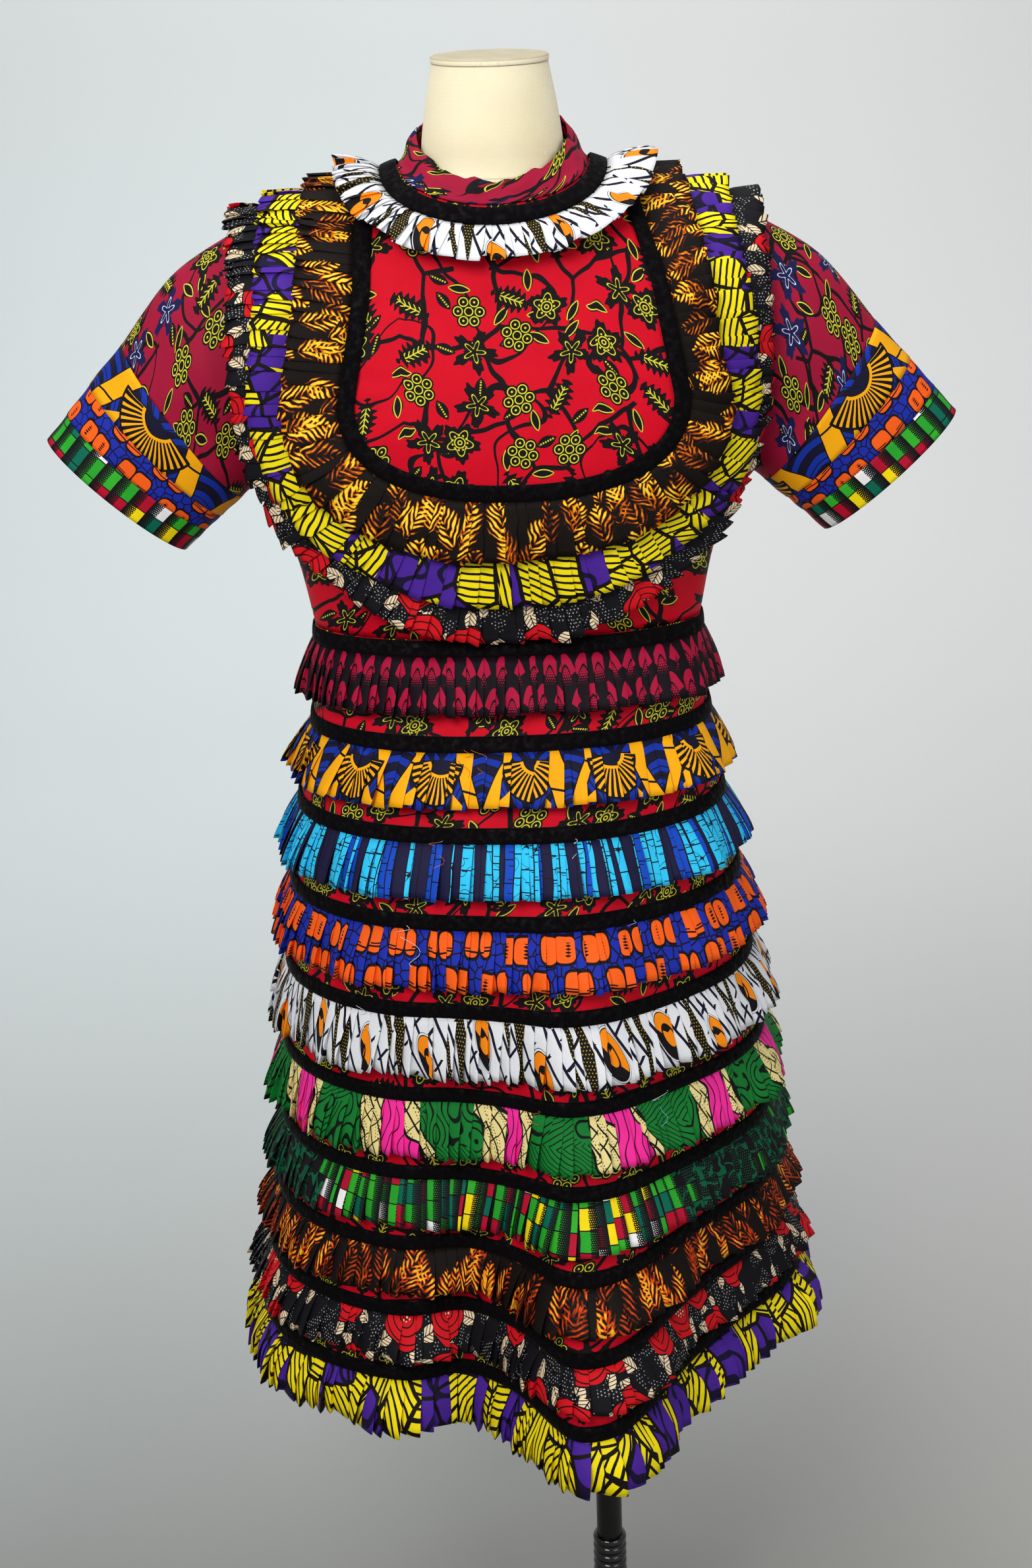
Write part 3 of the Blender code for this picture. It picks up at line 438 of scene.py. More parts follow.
def sew(name, node, points, cut, material, wall, sharp=50):
    """A cloth for a solid, from rows of points and their places on the flat cut in metres, for its print."""
    rows, columns = points.shape[:2]
    corner = np.arange(rows * columns).reshape(rows, columns)
    corners = [corner[:-1, :-1], corner[:-1, 1:], corner[1:, 1:], corner[1:, :-1]]
    faces = np.stack(corners, -1).reshape(-1, 4)
    piece = make_piece(name, points.reshape(-1, 3).tolist(), faces.tolist(), material, sharp)
    layer = piece.data.uv_layers.new(name="cut")
    layer.data.foreach_set("uv", cut.reshape(-1, 2)[faces.ravel()].astype(np.float32).ravel())
    thickness = piece.modifiers.new("wall", "SOLIDIFY")
    thickness.thickness = wall
    thickness.offset = 0.0
    return stands_for(piece, node)


def cells(p, size, scatter, feature="F1", place="Vector", dimensions="2D"):
    """Cells of about this size in mm, scattered from an even grid by this share."""
    return Ink.node("TexVoronoi", {"voronoi_dimensions": dimensions, "feature": feature},
                    {place: p, "Scale": 1.0 / size, "Randomness": scatter})


def spots(p, apart, scatter=0.8, swing=6.283, rest=0.0):
    """Spots about this many mm apart: place from the nearest, turned at random, its distance and lots."""
    near = cells(p, apart, scatter)
    lots = near.sibling("Color").split()
    place = Ink.node("VectorRotate", {"rotation_type": "Z_AXIS"},
                     {"Vector": p.minus(near.sibling("Position")), "Angle": (lots[2] - rest) * swing})
    return *place.split()[:2], place.length(), lots


def strayed(p, amount, size):
    """The place moved by soft noise, so that drawn lines run unevenly."""
    noise = grain(p, size, 1.0).sibling("Color")
    return p.shift(noise.minus((0.5, 0.5, 0.5)).times(amount * 2.0))


def line(value, half_width):
    return abs(value) < half_width


def stripes(value, half_share):
    """A line in the middle of every whole step of a value."""
    return line(value.part() - 0.5, half_share)


def round_petals(away, angle, count, reach):
    """The place across and along each of some petals set round a spot, from the middle of the petal."""
    whole_turn = 6.2832
    sector = ((angle * (count / whole_turn)).part() - 0.5) * (whole_turn / count)
    return away * sector.wave(), away * sector.cosine() - reach


def vine_print(p, ground, outline, sprig_leaf):
    """A net of black vines with leaves, flowers and seed heads that have thin outlines."""
    ink = dye(20, 12, 16)
    soft = strayed(p, 9.0, 38.0)
    net = cells(soft, 58.0, 0.9, "DISTANCE_TO_EDGE")
    shoots = line(grain(soft.shift((310.0, 120.0, 0.0)), 66.0, 0.0) - 0.47, 0.0120)
    vines = (net < 0.031) * (grain(p, 47.0, 0.0) > 0.34)
    colour = lay(ground, ink, vines.top(shoots))
    x, y, _, lots = spots(p.shift((57.0, 31.0, 0.0)), 27.0)
    half = 4.6 * (1.0 - (x / 9.0) ** 2.0)
    small = (lots[0] < 0.68) * line(y, half)
    colour = lay(colour, ink, small)
    beads = ((x / 2.1).part() < 0.55) * line(y, 0.7)
    inner = line(abs(y) - half * 0.66, 0.45) * (lots[0] < 0.46)
    colour = lay(colour, outline, small * (inner + beads * (lots[0] > 0.46) * line(x, 6.5)).clamp())
    x, y, away, lots = spots(p, 39.0, 0.58)
    angle = y.bearing(x)
    kind = lots[0]
    lobes = (angle * 5.0).wave()
    flower = (kind < 0.27) * (away < 14.2 + 2.8 * lobes + 1.1 * (angle * 17.0).wave())
    colour = lay(colour, ink, flower)
    petals = away - 8.6 - 2.2 * lobes
    colour = lay(colour, outline, flower * (line(petals, 0.46) + line(away - 4.2, 0.44)
                                            + line(away - 1.6, 0.45)).clamp())
    colour = lay(colour, outline, flower * line(away - 6.0, 0.7) * ((angle * 11.0).wave() > 0.2))
    half = 8.8 * (1.0 - (x / 17.0) ** 2.0)
    leaf = (kind > 0.27) * (kind < 0.54) * (abs(y) < half + 2.2 * (x * 1.25).wave())
    colour = lay(colour, ink, leaf)
    veins = stripes(x * 0.23 + abs(y) * 0.22, 0.13) * line(y, 3.6)
    colour = lay(colour, outline, leaf * line(x, 9.5) * (veins + line(y, 0.5)).clamp())
    across, along = round_petals(away, angle, 6.0, 8.6)
    disc = (across * across + along * along) ** 0.5
    seeds = (kind > 0.54) * (kind < 0.77)
    colour = lay(colour, ink, seeds * ((disc < 5.3) + (away < 6.0)).clamp())
    rings = (line(disc - 3.5, 0.44) + line(away - 3.2, 0.44) + (disc < 0.9)).clamp()
    colour = lay(colour, outline, seeds * rings)
    point = abs((angle * 2.5).cosine())
    star = (kind > 0.77) * (away < 7.4 + 11.2 * point ** 2.0 + 1.3 * (angle * 21.0).wave())
    colour = lay(colour, sprig_leaf, star)
    rim = dye(214, 216, 240) if sprig_leaf[2] > 0.03 else outline
    return lay(colour, rim, star * line(away - 2.6 - 6.4 * point ** 3.0, 0.6))


def wax_cotton(name, drawn):
    """Waxed cotton with its print, a little faded in patches, with the weave's fine relief."""
    material, shader = start_material(name, 0.6, Specular_IOR_Level=0.12)
    p = Ink.node("UVMap", {"uv_map": "cut"}, {}).times(1000.0)
    patch = grain(p, 42.0, 3.0)
    feed(shader, "Base Color", lay(drawn(p), dye(0, 0, 0), (patch - 0.42).clamp() * 0.35))
    feed(shader, "Roughness", 0.5 + patch * 0.2)
    x, y = p.split()[:2]
    threads = (x * 9.0).wave() + (y * 9.0).wave()
    raise_bumps(shader, threads * 0.12 + grain(p, 7.0, 3.0) * 0.9, 0.22)
    return material


OUTLINE, BLACK_LEAF, NAVY_LEAF = dye(220, 214, 58), dye(20, 12, 16), dye(24, 26, 74)
bright_red = wax_cotton("bright_vine_cotton", lambda p: vine_print(p, dye(212, 2, 34), OUTLINE, BLACK_LEAF))
wine_red = wax_cotton("wine_vine_cotton", lambda p: vine_print(p, dye(160, 18, 54), OUTLINE, NAVY_LEAF))

BIB_CREASES = [Crease(*numbers) for numbers in (
    (-0.128, 1.360, -0.085, 1.352, 0.006, -0.0012), (-0.122, 1.330, -0.070, 1.345, 0.007, -0.0010),
    (0.140, 1.372, 0.100, 1.360, 0.006, -0.0012), (0.138, 1.335, 0.082, 1.350, 0.008, -0.0011),
    (-0.080, 1.276, -0.050, 1.310, 0.007, -0.0010), (0.080, 1.280, 0.060, 1.318, 0.007, -0.0009),
    (-0.020, 1.268, -0.018, 1.300, 0.008, 0.0008), (0.030, 1.268, 0.034, 1.296, 0.007, -0.0008),
    (-0.060, 1.440, -0.098, 1.415, 0.008, 0.0010), (0.070, 1.440, 0.110, 1.410, 0.009, 0.0010))]
WAIST_CREASES = [Crease(*numbers) for numbers in (
    (-0.165, 1.235, -0.150, 1.150, 0.010, -0.0022), (0.165, 1.230, 0.152, 1.150, 0.010, -0.0020),
    (-0.140, 1.200, -0.120, 1.140, 0.009, 0.0014), (0.142, 1.205, 0.122, 1.140, 0.009, 0.0012))]
COTTON, PANEL_INSET = 0.0010, 0.0007
BACK_CUT_X, BACK_CUT_Y = 0.6, -0.21


def crowded(count, share):
    """Even steps from -1 to 1, of which a share is drawn together towards both ends."""
    turn = np.linspace(-np.pi / 2.0, np.pi / 2.0, count)
    return np.sin(turn) * share + np.linspace(-1.0, 1.0, count) * (1.0 - share)


def from_shoulder(points):
    """How far down the cloth each point lies from the shoulder line, also below the neckline."""
    down, top = lengths(points, 0), points[0]
    corner = top[:, 2].argmax()
    fall = np.interp(top[:, 2], points[::-1, corner, 2], down[::-1, corner])
    return down + np.where(np.abs(top[:, 0]) < abs(top[corner, 0]), fall, 0.0)


row = np.linspace(0.0, 1.0, 84) ** 1.6
column = crowded(97, 0.35)
inset = (0.0, PANEL_INSET, 0.0)
points = pressed(bodice_point(FRONT, *np.meshgrid(column, row)) + inset, BIB_CREASES + WAIST_CREASES)
cut = np.stack([points[..., 0], -from_shoulder(points)], -1)
front_panel = sew("front_panel", "bodice_front", points, cut, bright_red, COTTON)
for hand, name, node in ((-1, "back_panel_left", "bodice_back_left"),
                         (1, "back_panel_right", "bodice_back_right")):
    half = column[column * hand > 0.0]
    half = np.sort(np.append(half, hand * GAP / TOP_HALF_WIDTH))
    points = pressed(bodice_point(BACK, *np.meshgrid(half, row)) - inset, WAIST_CREASES)
    cut = np.stack([points[..., 0] + BACK_CUT_X, BACK_CUT_Y - from_shoulder(points)], -1)
    panel = sew(name, node, points, cut, bright_red, COTTON)


# Skirt: a front and a back panel of the same red cotton, the base that every tier is sewn on. It shows
# as a red strip between each frill and the next ribbon, and it swings out in one deep fold in front.
Tier = namedtuple("Tier", "height half_width front back flute cut middle tilt")
TIERS = [
    Tier(1.134, 0.168, 0.091, 0.085, 0.000, 0.000, 0.000, 0.000),
    Tier(1.059, 0.173, 0.120, 0.112, 0.000, 0.000, 0.000, 0.000),
    Tier(0.988, 0.186, 0.148, 0.138, 0.003, 0.000, -0.002, 0.000),
    Tier(0.917, 0.198, 0.166, 0.158, 0.007, 0.000, -0.001, 0.000),
    Tier(0.841, 0.208, 0.178, 0.172, 0.018, 0.000, 0.000, 0.002),
    Tier(0.763, 0.217, 0.180, 0.182, 0.026, 0.000, 0.002, 0.003),
    Tier(0.689, 0.223, 0.181, 0.190, 0.034, 0.000, 0.003, 0.005),
    Tier(0.622, 0.231, 0.184, 0.198, 0.055, 0.006, 0.003, 0.008),
    Tier(0.560, 0.240, 0.189, 0.207, 0.075, 0.020, 0.002, 0.012),
    Tier(0.499, 0.251, 0.194, 0.216, 0.085, 0.034, 0.002, 0.014),
    Tier(0.462, 0.258, 0.199, 0.223, 0.088, 0.037, 0.003, 0.016),
]
HEM = TIERS[-1].height
CUT_MIDDLE, CUT_REACH = 0.200, 0.070
FLUTE_MIDDLE, FLUTE_LEFT, FLUTE_RIGHT, FLUTE_BLUNT = 0.046, 0.047, 0.070, 2.4
TROUGH_MIDDLE, TROUGH_REACH, TROUGH_SHARE = -0.062, 0.034, 0.26
BACK_FLUTES, BACK_FLUTE_SHARE = 3, 0.12


def skirt_point(side, column, height):
    """A point of the skirt, from its share of the half width and its height."""
    x = column * read(TIERS, height, "half_width")
    flute = read(TIERS, height, "flute")
    if side == FRONT:
        reach = np.where(x < FLUTE_MIDDLE, FLUTE_LEFT, FLUTE_RIGHT)
        depth = read(TIERS, height, "front") * oval(column)
        depth = depth + flute * np.exp(-np.abs((x - FLUTE_MIDDLE) / reach) ** FLUTE_BLUNT)
        depth = depth - flute * TROUGH_SHARE * np.exp(-((x - TROUGH_MIDDLE) / TROUGH_REACH) ** 2)
        depth = depth - read(TIERS, height, "cut") * np.exp(-((x - CUT_MIDDLE) / CUT_REACH) ** 2)
    else:
        ripple = np.cos(column * math.pi * (BACK_FLUTES - 1)) * oval(column)
        depth = read(TIERS, height, "back") * oval(column) + flute * BACK_FLUTE_SHARE * ripple
    lean = read(TIERS, height, "tilt") * np.maximum(0.0, column) ** 2
    x = x + read(TIERS, height, "middle")
    return np.stack([x, side * np.maximum(GAP / 2.0, depth), height + lean], -1)


height = np.linspace(WAIST, HEM, 90)
PANEL_CUT_X, PANEL_LENGTH = 1.2, 0.69
for side, name, node, count, spread, area in (
        (FRONT, "skirt_front_panel", "skirt_front", 121, 0.84, 0.435),
        (BACK, "skirt_back_panel", "skirt_back", 91, 0.78, 0.415)):
    column = crowded(count, 0.5)
    points = skirt_point(side, *np.meshgrid(column, height)) - (0.0, side * PANEL_INSET, 0.0)
    cut = np.stack([lengths(points, 1) + PANEL_CUT_X + side, -lengths(points, 0)], -1)
    panel = sew(name, node, points, cut, bright_red, COTTON)


# Sleeves: one wide panel each, closed by an underarm seam and set into the armhole. The cotton is the
# wine colourway of the vine print. It is crisp, so the sleeve stands away from the body.
SleeveRing = namedtuple("SleeveRing", "top_x top_height low_x low_height half_depth")
SLEEVE_MIDDLE = SleeveRing(0.270, 1.434, 0.216, 1.252, 0.058)
BAND_START = SleeveRing(0.317, 1.378, 0.224, 1.245, 0.054)
BAND_SEAM = SleeveRing(0.347, 1.346, 0.242, 1.229, 0.050)
CUFF_START = SleeveRing(0.369, 1.322, 0.255, 1.217, 0.047)
CUFF_END = SleeveRing(0.388, 1.301, 0.274, 1.199, 0.045)
arm_turn = np.linspace(0.0, 2.0 * np.pi, 73)


def armhole_ring(hand, inset):
    height = ARMHOLE_MIDDLE + (ARMHOLE_HALF_HEIGHT - inset) * np.cos(arm_turn)
    depth = (ARMHOLE_HALF_DEPTH - inset) * np.sin(arm_turn)
    return np.stack([hand * (read(BODICE, height, "half_width") + GAP), depth, height], -1)


def sleeve_ring(hand, ring, inset):
    top, low = np.array([ring.top_x, ring.top_height]), np.array([ring.low_x, ring.low_height])
    upward = (top - low) / np.linalg.norm(top - low)
    reach = np.linalg.norm(top - low) / 2.0 - inset
    place = (top + low) / 2.0 + upward * reach * np.cos(arm_turn)[:, None]
    return np.stack([hand * place[:, 0], (ring.half_depth - inset) * np.sin(arm_turn), place[:, 1]], -1)


def round_cut(points):
    """How far round its tube each point lies, the same in every ring."""
    return lengths(points, 1).mean(0)[None, :] + 0.0 * points[..., 0]


def through(rings, share):
    """A ring part of the way along rings, on a smooth path through each of them."""
    spot = share * (len(rings) - 1)
    k = min(len(rings) - 2, int(spot))
    t = spot - k
    before, start = rings[max(0, k - 1)], rings[k]
    end, after = rings[k + 1], rings[min(len(rings) - 1, k + 2)]
    lead, trail = (end - before) / 2.0, (after - start) / 2.0
    return (start * (2 * t ** 3 - 3 * t ** 2 + 1) + lead * (t ** 3 - 2 * t ** 2 + t)
            + end * (3 * t ** 2 - 2 * t ** 3) + trail * (t ** 3 - t ** 2))


SLEEVE_CREASES = {
    1: ((0.222, 1.275, 0.262, 1.330, 0.009, -0.0030), (0.226, 1.268, 0.285, 1.300, 0.008, 0.0022),
        (0.235, 1.420, 0.290, 1.370, 0.012, -0.0014), (0.222, 1.310, 0.246, 1.368, 0.010, 0.0018)),
    -1: ((-0.220, 1.280, -0.258, 1.322, 0.010, -0.0028), (-0.228, 1.266, -0.282, 1.292, 0.008, 0.0024),
         (-0.228, 1.415, -0.272, 1.352, 0.011, -0.0016), (-0.224, 1.322, -0.252, 1.378, 0.009, 0.0014)),
}
SLEEVE_INSET = 0.0006
for hand, name in ((-1, "left"), (1, "right")):
    rings = [armhole_ring(hand, SLEEVE_INSET), sleeve_ring(hand, SLEEVE_MIDDLE, SLEEVE_INSET),
             sleeve_ring(hand, BAND_START, SLEEVE_INSET)]
    points = pressed(np.stack([through(rings, share) for share in np.linspace(0.0, 1.0, 26)]),
                     [Crease(*numbers) for numbers in SLEEVE_CREASES[hand]])
    cut = np.stack([round_cut(points) + hand, -lengths(points, 0)], -1)
    sleeve = sew("sleeve_panel_" + name, "sleeve_" + name, points, cut, wine_red, COTTON)


# Sleeve strips: three straight strips of other wax prints sewn on one after the other, each a hair
# narrower than the last: blue fans with rays, blue crackle with barrels, and a cuff of bright blocks.
def from_middle(value, repeat):
    """How far a value is from the middle of the repeat that it lies in."""
    return ((value / repeat).part() - 0.5) * repeat


def fan_print(p):
    """Fans with fine golden rays, set in royal blue arcs on navy, with big golden blocks between."""
    navy, royal, gold, ink = dye(22, 20, 46), dye(20, 50, 160), dye(252, 174, 14), dye(18, 14, 22)
    x, y = strayed(p, 2.2, 30.0).split()[:2]
    repeat = 150.0
    u = from_middle(x, repeat)
    far = ((abs(u) - repeat / 2.0) ** 2.0 + (y + 50.0) * (y + 50.0)) ** 0.5
    colour = lay(navy, royal, (far / 13.0 + (y * 0.16).wave() * 0.14).part() < 0.55)
    colour = lay(colour, ink, stripes(far / 6.5 + 0.2, 0.07))
    lean = abs(u) - 50.0 + (y + 22.0) * 0.42
    colour = lay(colour, ink, line(lean, 11.0))
    colour = lay(colour, gold, line(lean, 9.6) * (line(y + 20.0 + u * 0.22, 0.9) < 0.5))
    slant = y + abs(u) * 0.9
    corner = (slant < -1.0) * (slant > -16.0) * (abs(u) > 29.0) * (abs(u) < 44.0)
    colour = lay(colour, gold, corner * (y > -44.0) * (y < -24.0))
    dy = y + 5.0
    reach = (u * u * 0.62 + dy * dy) ** 0.5
    angle = u.bearing(0.0 - dy)
    fan = (reach < 37.0 - 4.0 * abs(angle)) * (abs(angle) < 1.42)
    colour = lay(colour, ink, (reach < 38.8 - 4.0 * abs(angle)) * (abs(angle) < 1.48))
    colour = lay(colour, gold, fan * (reach > 14.0) * ((angle * 6.4).part() < 0.44))
    colour = lay(colour, gold, fan * line(reach - 13.6, 1.2))
    return lay(colour, navy, fan * (reach < 11.6))


def drawn_lot(column, row):
    """A random number from 0 to 1 for each place of a grid."""
    return Ink.node("TexWhiteNoise", {"noise_dimensions": "2D"},
                    {"Vector": Ink.node("CombineXYZ", {}, {0: column, 1: row})})


def flat_paints(lot, stops):
    """One of some colours for each lot, without shades between them."""
    return Ink.node("ValToRGB", {"stops": stops, "between_stops": "CONSTANT"}, {0: lot})


def barrel_print(p):
    """Royal blue with black crackle, and rows of orange barrels in thick black outlines."""
    ink = dye(20, 14, 22)
    colour = lay(dye(28, 46, 168), ink, cells(p, 7.4, 0.8, "DISTANCE_TO_EDGE") < 0.066)
    x, y = strayed(p, 1.8, 17.0).split()[:2]
    deep, wide = 23.0, 46.0
    row = (y / deep).whole()
    place = (x + row * deep) / wide
    lot = drawn_lot(place.whole(), row)
    u = (place.part() - 0.5) * wide
    v = from_middle(y, deep) + (lot - 0.5) * 4.0
    pair = abs(u) - 8.1
    round_off = (abs(pair) / 7.6) ** 4.0 + (abs(v) / 8.2) ** 3.0
    colour = lay(colour, ink, round_off < 1.75)
    orange = round_off < 0.92
    colour = lay(colour, dye(252, 98, 24), orange)
    marks = line(v + 4.6 - pair * 0.1, 0.55) + line(v + 2.8 - pair * 0.1, 0.45) * (pair > -1.5)
    zigzag = line(pair - 2.0, 1.0 + (v * 3.0).wave()) * line(v, 4.6)
    return lay(colour, ink, orange * ((lot < 0.6) * marks + (lot > 0.6) * zigzag).clamp())


def dots(x, y, apart, size):
    """Printer's dots in rows, each of this radius in mm."""
    u = ((x / apart + (y / apart).whole() * 0.5).part() - 0.5) * apart
    v = from_middle(y, apart)
    return u * u + v * v < size * size


def block_print(p, period=0.0):
    """Blocks of green, teal, red, white and yellow with black gaps, each fading into black in dots."""
    x, y = strayed(p, 0.8, 20.0).split()[:2]
    block, seam = 17.0, 0.06
    across = x / block
    column = across.whole()
    down = (y + (column * 12.9).wave() * 6.0) / block
    lot = drawn_lot(column, down.whole())
    paint = flat_paints(lot, [
        (0.0, dye(40, 164, 44)), (0.32, dye(4, 104, 82)), (0.50, dye(182, 14, 46)),
        (0.66, dye(246, 246, 246)), (0.76, dye(252, 224, 16)), (0.88, dye(52, 176, 44))])
    u = across.part()
    inside = (u > seam) * (down.part() > seam)
    size = (0.70 * (1.0 - (u - 0.40) * 1.6)).top(0.06)
    fill = inside * ((u < 0.52) + (u > 0.52) * dots(x, y, 1.7, size)).clamp()
    if period:
        dark = (((x / period).part() < 0.46) * (lot > 0.12)).clamp()
        leafy = line(grain(p, block, 1.0) - 0.5, 0.035) + dots(x, y, 2.4, 0.55) * (lot < 0.6)
        paint = lay(paint, dye(8, 92, 60), dark)
        fill = lay(fill, leafy.clamp() * inside, dark)
    return lay(dye(18, 15, 20), paint, fill)


fan_cotton = wax_cotton("fan_cotton", fan_print)
barrel_cotton = wax_cotton("barrel_cotton", barrel_print)
block_cotton = wax_cotton("block_cotton", block_print)
Strip = namedtuple("Strip", "node start end start_inset end_inset cotton slot depth drop")
STRIPS = [
    Strip("sleeve_band_", BAND_START, BAND_SEAM, 0.0004, 0.0008, fan_cotton, "fan_cotton", 0.044, 0.0),
    Strip("sleeve_edge_band_", BAND_SEAM, CUFF_START, 0.0014, 0.0018, barrel_cotton, "barrel_cotton",
          0.033, 0.0125),
    Strip("cuff_", CUFF_START, CUFF_END, 0.0022, 0.0022, block_cotton, "block_cotton", 0.028, 0.0),
]
STRIP_LENGTH, STRIP_SWAY = 0.42, 0.0006
for hand, name in ((-1, "left"), (1, "right")):
    for strip in STRIPS:
        first = sleeve_ring(hand, strip.start, strip.start_inset)
        last = sleeve_ring(hand, strip.end, strip.end_inset)
        rings = []
        for share in np.linspace(0.0, 1.0, 9):
            sway = STRIP_SWAY * np.sin(3.0 * arm_turn + 2.0 * hand + 90.0 * strip.depth * share)
            ring = first + (last - first) * share
            rings.append(ring + unit(ring - ring[:-1].mean(0)) * (sway * np.sin(np.pi * share))[:, None])
        points = np.stack(rings)
        cut = np.stack([round_cut(points) + 0.040 - 0.010 * hand, -lengths(points, 0) - strip.drop], -1)
        node = strip.node + name
        cloth = sew(node + "_strip", node, points, cut, strip.cotton, COTTON)


# Tier ribbons: black velvet ribbon 13.5 mm wide, stitched flat over the head of every frill. The pile is
# brushed unevenly, so it shines in short streaks: it is smoother there, and a sheen of lighter grey is
# painted into its colour. The ribbon puckers a little at its stitches.
RIBBON_WIDTH = 0.0135
velvet, shader = start_material("black_velvet_ribbon", 0.9, Specular_IOR_Level=0.10,
                                Sheen_Weight=0.03, Sheen_Roughness=0.3)
place = body_place()
brushed_pile_and_painted_sheen = grain(place, 5.0, 3.0)
# Painted sheen: the velvet's colour turns lighter grey where its brushed pile shines, and there it is also
# smoother.
feed(shader, "Base Color", lay(dye(4, 2, 4), dye(26, 22, 26), (brushed_pile_and_painted_sheen - 0.62).clamp() * 2.4))
feed(shader, "Roughness", 0.95 - (brushed_pile_and_painted_sheen - 0.44).clamp() * 1.5)
raise_bumps(shader, grain(place, 0.7, 2.0) * 0.5 + grain(place, 4.0, 2.0), 0.35)

front_columns = crowded(301, 0.55)
back_columns = front_columns[::2][::-1]


def skirt_ring(height):
    """A closed ring on the skirt, from the left side over the front and back to where it began."""
    ring = np.concatenate([skirt_point(FRONT, front_columns, height),
                           skirt_point(BACK, back_columns, height)[1:]])
    ring[[0, len(front_columns) - 1, -1], 1] = 0.0
    return ring


def round_facing(rings):
    """The outward direction at each point of closed rings, the same at both ends of a ring."""
    wrapped = np.concatenate([rings[:, -2:-1], rings, rings[:, 1:2]], axis=1)
    normal = unit(np.cross(wrapped[:, 2:] - wrapped[:, :-2], np.gradient(rings, axis=0)))
    away = (rings - rings.reshape(-1, 3).mean(0)) * (1.0, 1.0, 0.0)
    return normal if (normal * away).sum() > 0.0 else -normal


RIBBON_ARCH = ((0.0, 0.0), (0.04, 0.0011), (0.3, 0.0013), (0.7, 0.0013), (0.96, 0.0011), (1.0, 0.0))
VELVET_WALL, PUCKER = 0.0009, 0.00016


def ribbon(name, rings, normals, base, node, seed):
    """A velvet ribbon along two edges given as rings, arched between them and puckered at its stitches."""
    dice = np.random.default_rng(seed)
    around = lengths(rings[:1], 1)[0]
    pucker = sum(dice.uniform(0.4, 1.0) * np.sin(2.0 * np.pi * around / step + dice.uniform(0.0, 6.3))
                 for step in (0.0052, 0.0081, 0.0137, 0.021))
    rows = []
    for share, lift in RIBBON_ARCH:
        normal = unit(normals[0] + (normals[-1] - normals[0]) * share)
        lifts = base + lift + PUCKER * pucker * (0.3 + math.sin(math.pi * share))
        rows.append(rings[0] + (rings[-1] - rings[0]) * share + normal * lifts[:, None])
    points = np.stack(rows)
    cut = np.stack([lengths(points, 1), -lengths(points, 0)], -1)
    band = sew(name, node, points, cut, velvet, VELVET_WALL, sharp=70)
    return band, float(around[-1])


for number, tier in enumerate(TIERS[:-1], 1):
    rings = np.stack([skirt_ring(tier.height - RIBBON_WIDTH * share) for share in (0.06, 0.5, 1.0)])
    band, around = ribbon(f"tier_{number}_ribbon", rings, round_facing(rings), VELVET_WALL,
                          f"tier_ribbon_{number:02d}", number)


# Tier frills: ten straight strips, each of another wax print, pressed into knife pleats and sewn under
# their ribbons. The pleats are uneven, open towards the raw-edged hem and stand off the skirt there.
Fold = namedtuple("Fold", "width spread tuck lift sway ragged")
OPENING, LIFT_CURVE, SWAY_CURVE, FALL = 0.45, 1.1, 1.5, 0.12
# Points across a pleat: their share of its width, their share of its lift, and the layer they lie in
FOLD_LINE = ((0.0, 0.0, 0), (0.22, 0.26, 0), (0.58, 0.64, 0), (0.90, 0.97, 0), (1.0, 1.0, 1), (0.5, 0.46, 2))
HEAD_LIFT = 0.0010


def along_rows(rows, run, places):
    """Rows of points at other places along them."""
    return np.stack([np.interp(places, run, rows[:, axis]) for axis in range(3)], 1)


def knife_pleats(rails, normals, depth, fold, seed):
    """A strip folded into uneven knife pleats along rails of points, from its seam to its hem."""
    dice = np.random.default_rng(seed)
    run = lengths(rails[:1], 1)[0]
    count = int(run[-1] / fold.width)
    widths = fold.width * (1.0 + fold.spread * dice.uniform(-1.0, 1.0, count))
    widths *= run[-1] / widths.sum()
    starts = np.cumsum(widths) - widths
    tucks = fold.tuck * dice.uniform(0.6, 1.3, count)
    lifts = fold.lift * dice.uniform(0.5, 1.4, count)
    sways = fold.sway * dice.normal(0.0, 1.0, count)
    drops = fold.ragged * dice.normal(0.0, 1.0, count)
    down = unit(rails[-1] - rails[0])
    cloth = widths * (1.0 + 2.0 * tucks)
    cloth_starts = np.cumsum(cloth) - cloth
    places = len(FOLD_LINE)
    in_order = lambda parts: np.stack(parts, 1).ravel()
    points, flat = [], []
    for rail, normal, share in zip(rails, normals, np.linspace(0.0, 1.0, len(rails))):
        tuck = tucks * (1.0 - OPENING * share)
        lift = HEAD_LIFT + (lifts - HEAD_LIFT) * share ** LIFT_CURVE
        along, heights, used = [], [], []
        for place, height, layer in FOLD_LINE:
            if layer < 2:
                along.append(starts + place * widths * (1.0 + tuck))
                used.append(cloth_starts + place * widths * (1.0 + tucks))
            else:
                along.append(starts + widths * (1.0 + tuck * (1.0 - place)))
                used.append(cloth_starts + widths * (1.0 + tucks * (1.0 + place)))
            heights.append(lift * height)
        moved = in_order(along) + np.repeat(sways * share ** SWAY_CURVE, places)
        height, used = in_order(heights), in_order(used)
        drop = np.repeat(drops * share, places) + height * FALL
        moved, used = np.append(moved, run[-1] + moved[0]), np.append(used, cloth.sum())
        height, drop = np.append(height, height[0]), np.append(drop, drop[0])
        if np.allclose(rails[:, 0], rails[:, -1], atol=1e-6):
            moved = moved % run[-1]
        out, fall = unit(along_rows(normal, run, moved)), along_rows(down, run, moved)
        points.append(along_rows(rail, run, moved) + out * height[:, None] + fall * drop[:, None])
        flat.append(np.stack([used, np.full_like(used, -share * depth)], 1))
    points, flat = np.stack(points), np.stack(flat)
    length = float(lengths(points, 1)[:, -1].mean())
    flat[..., 0] *= length / cloth.sum()
    return points, flat, length


RUFFLE_WALL = 0.0006


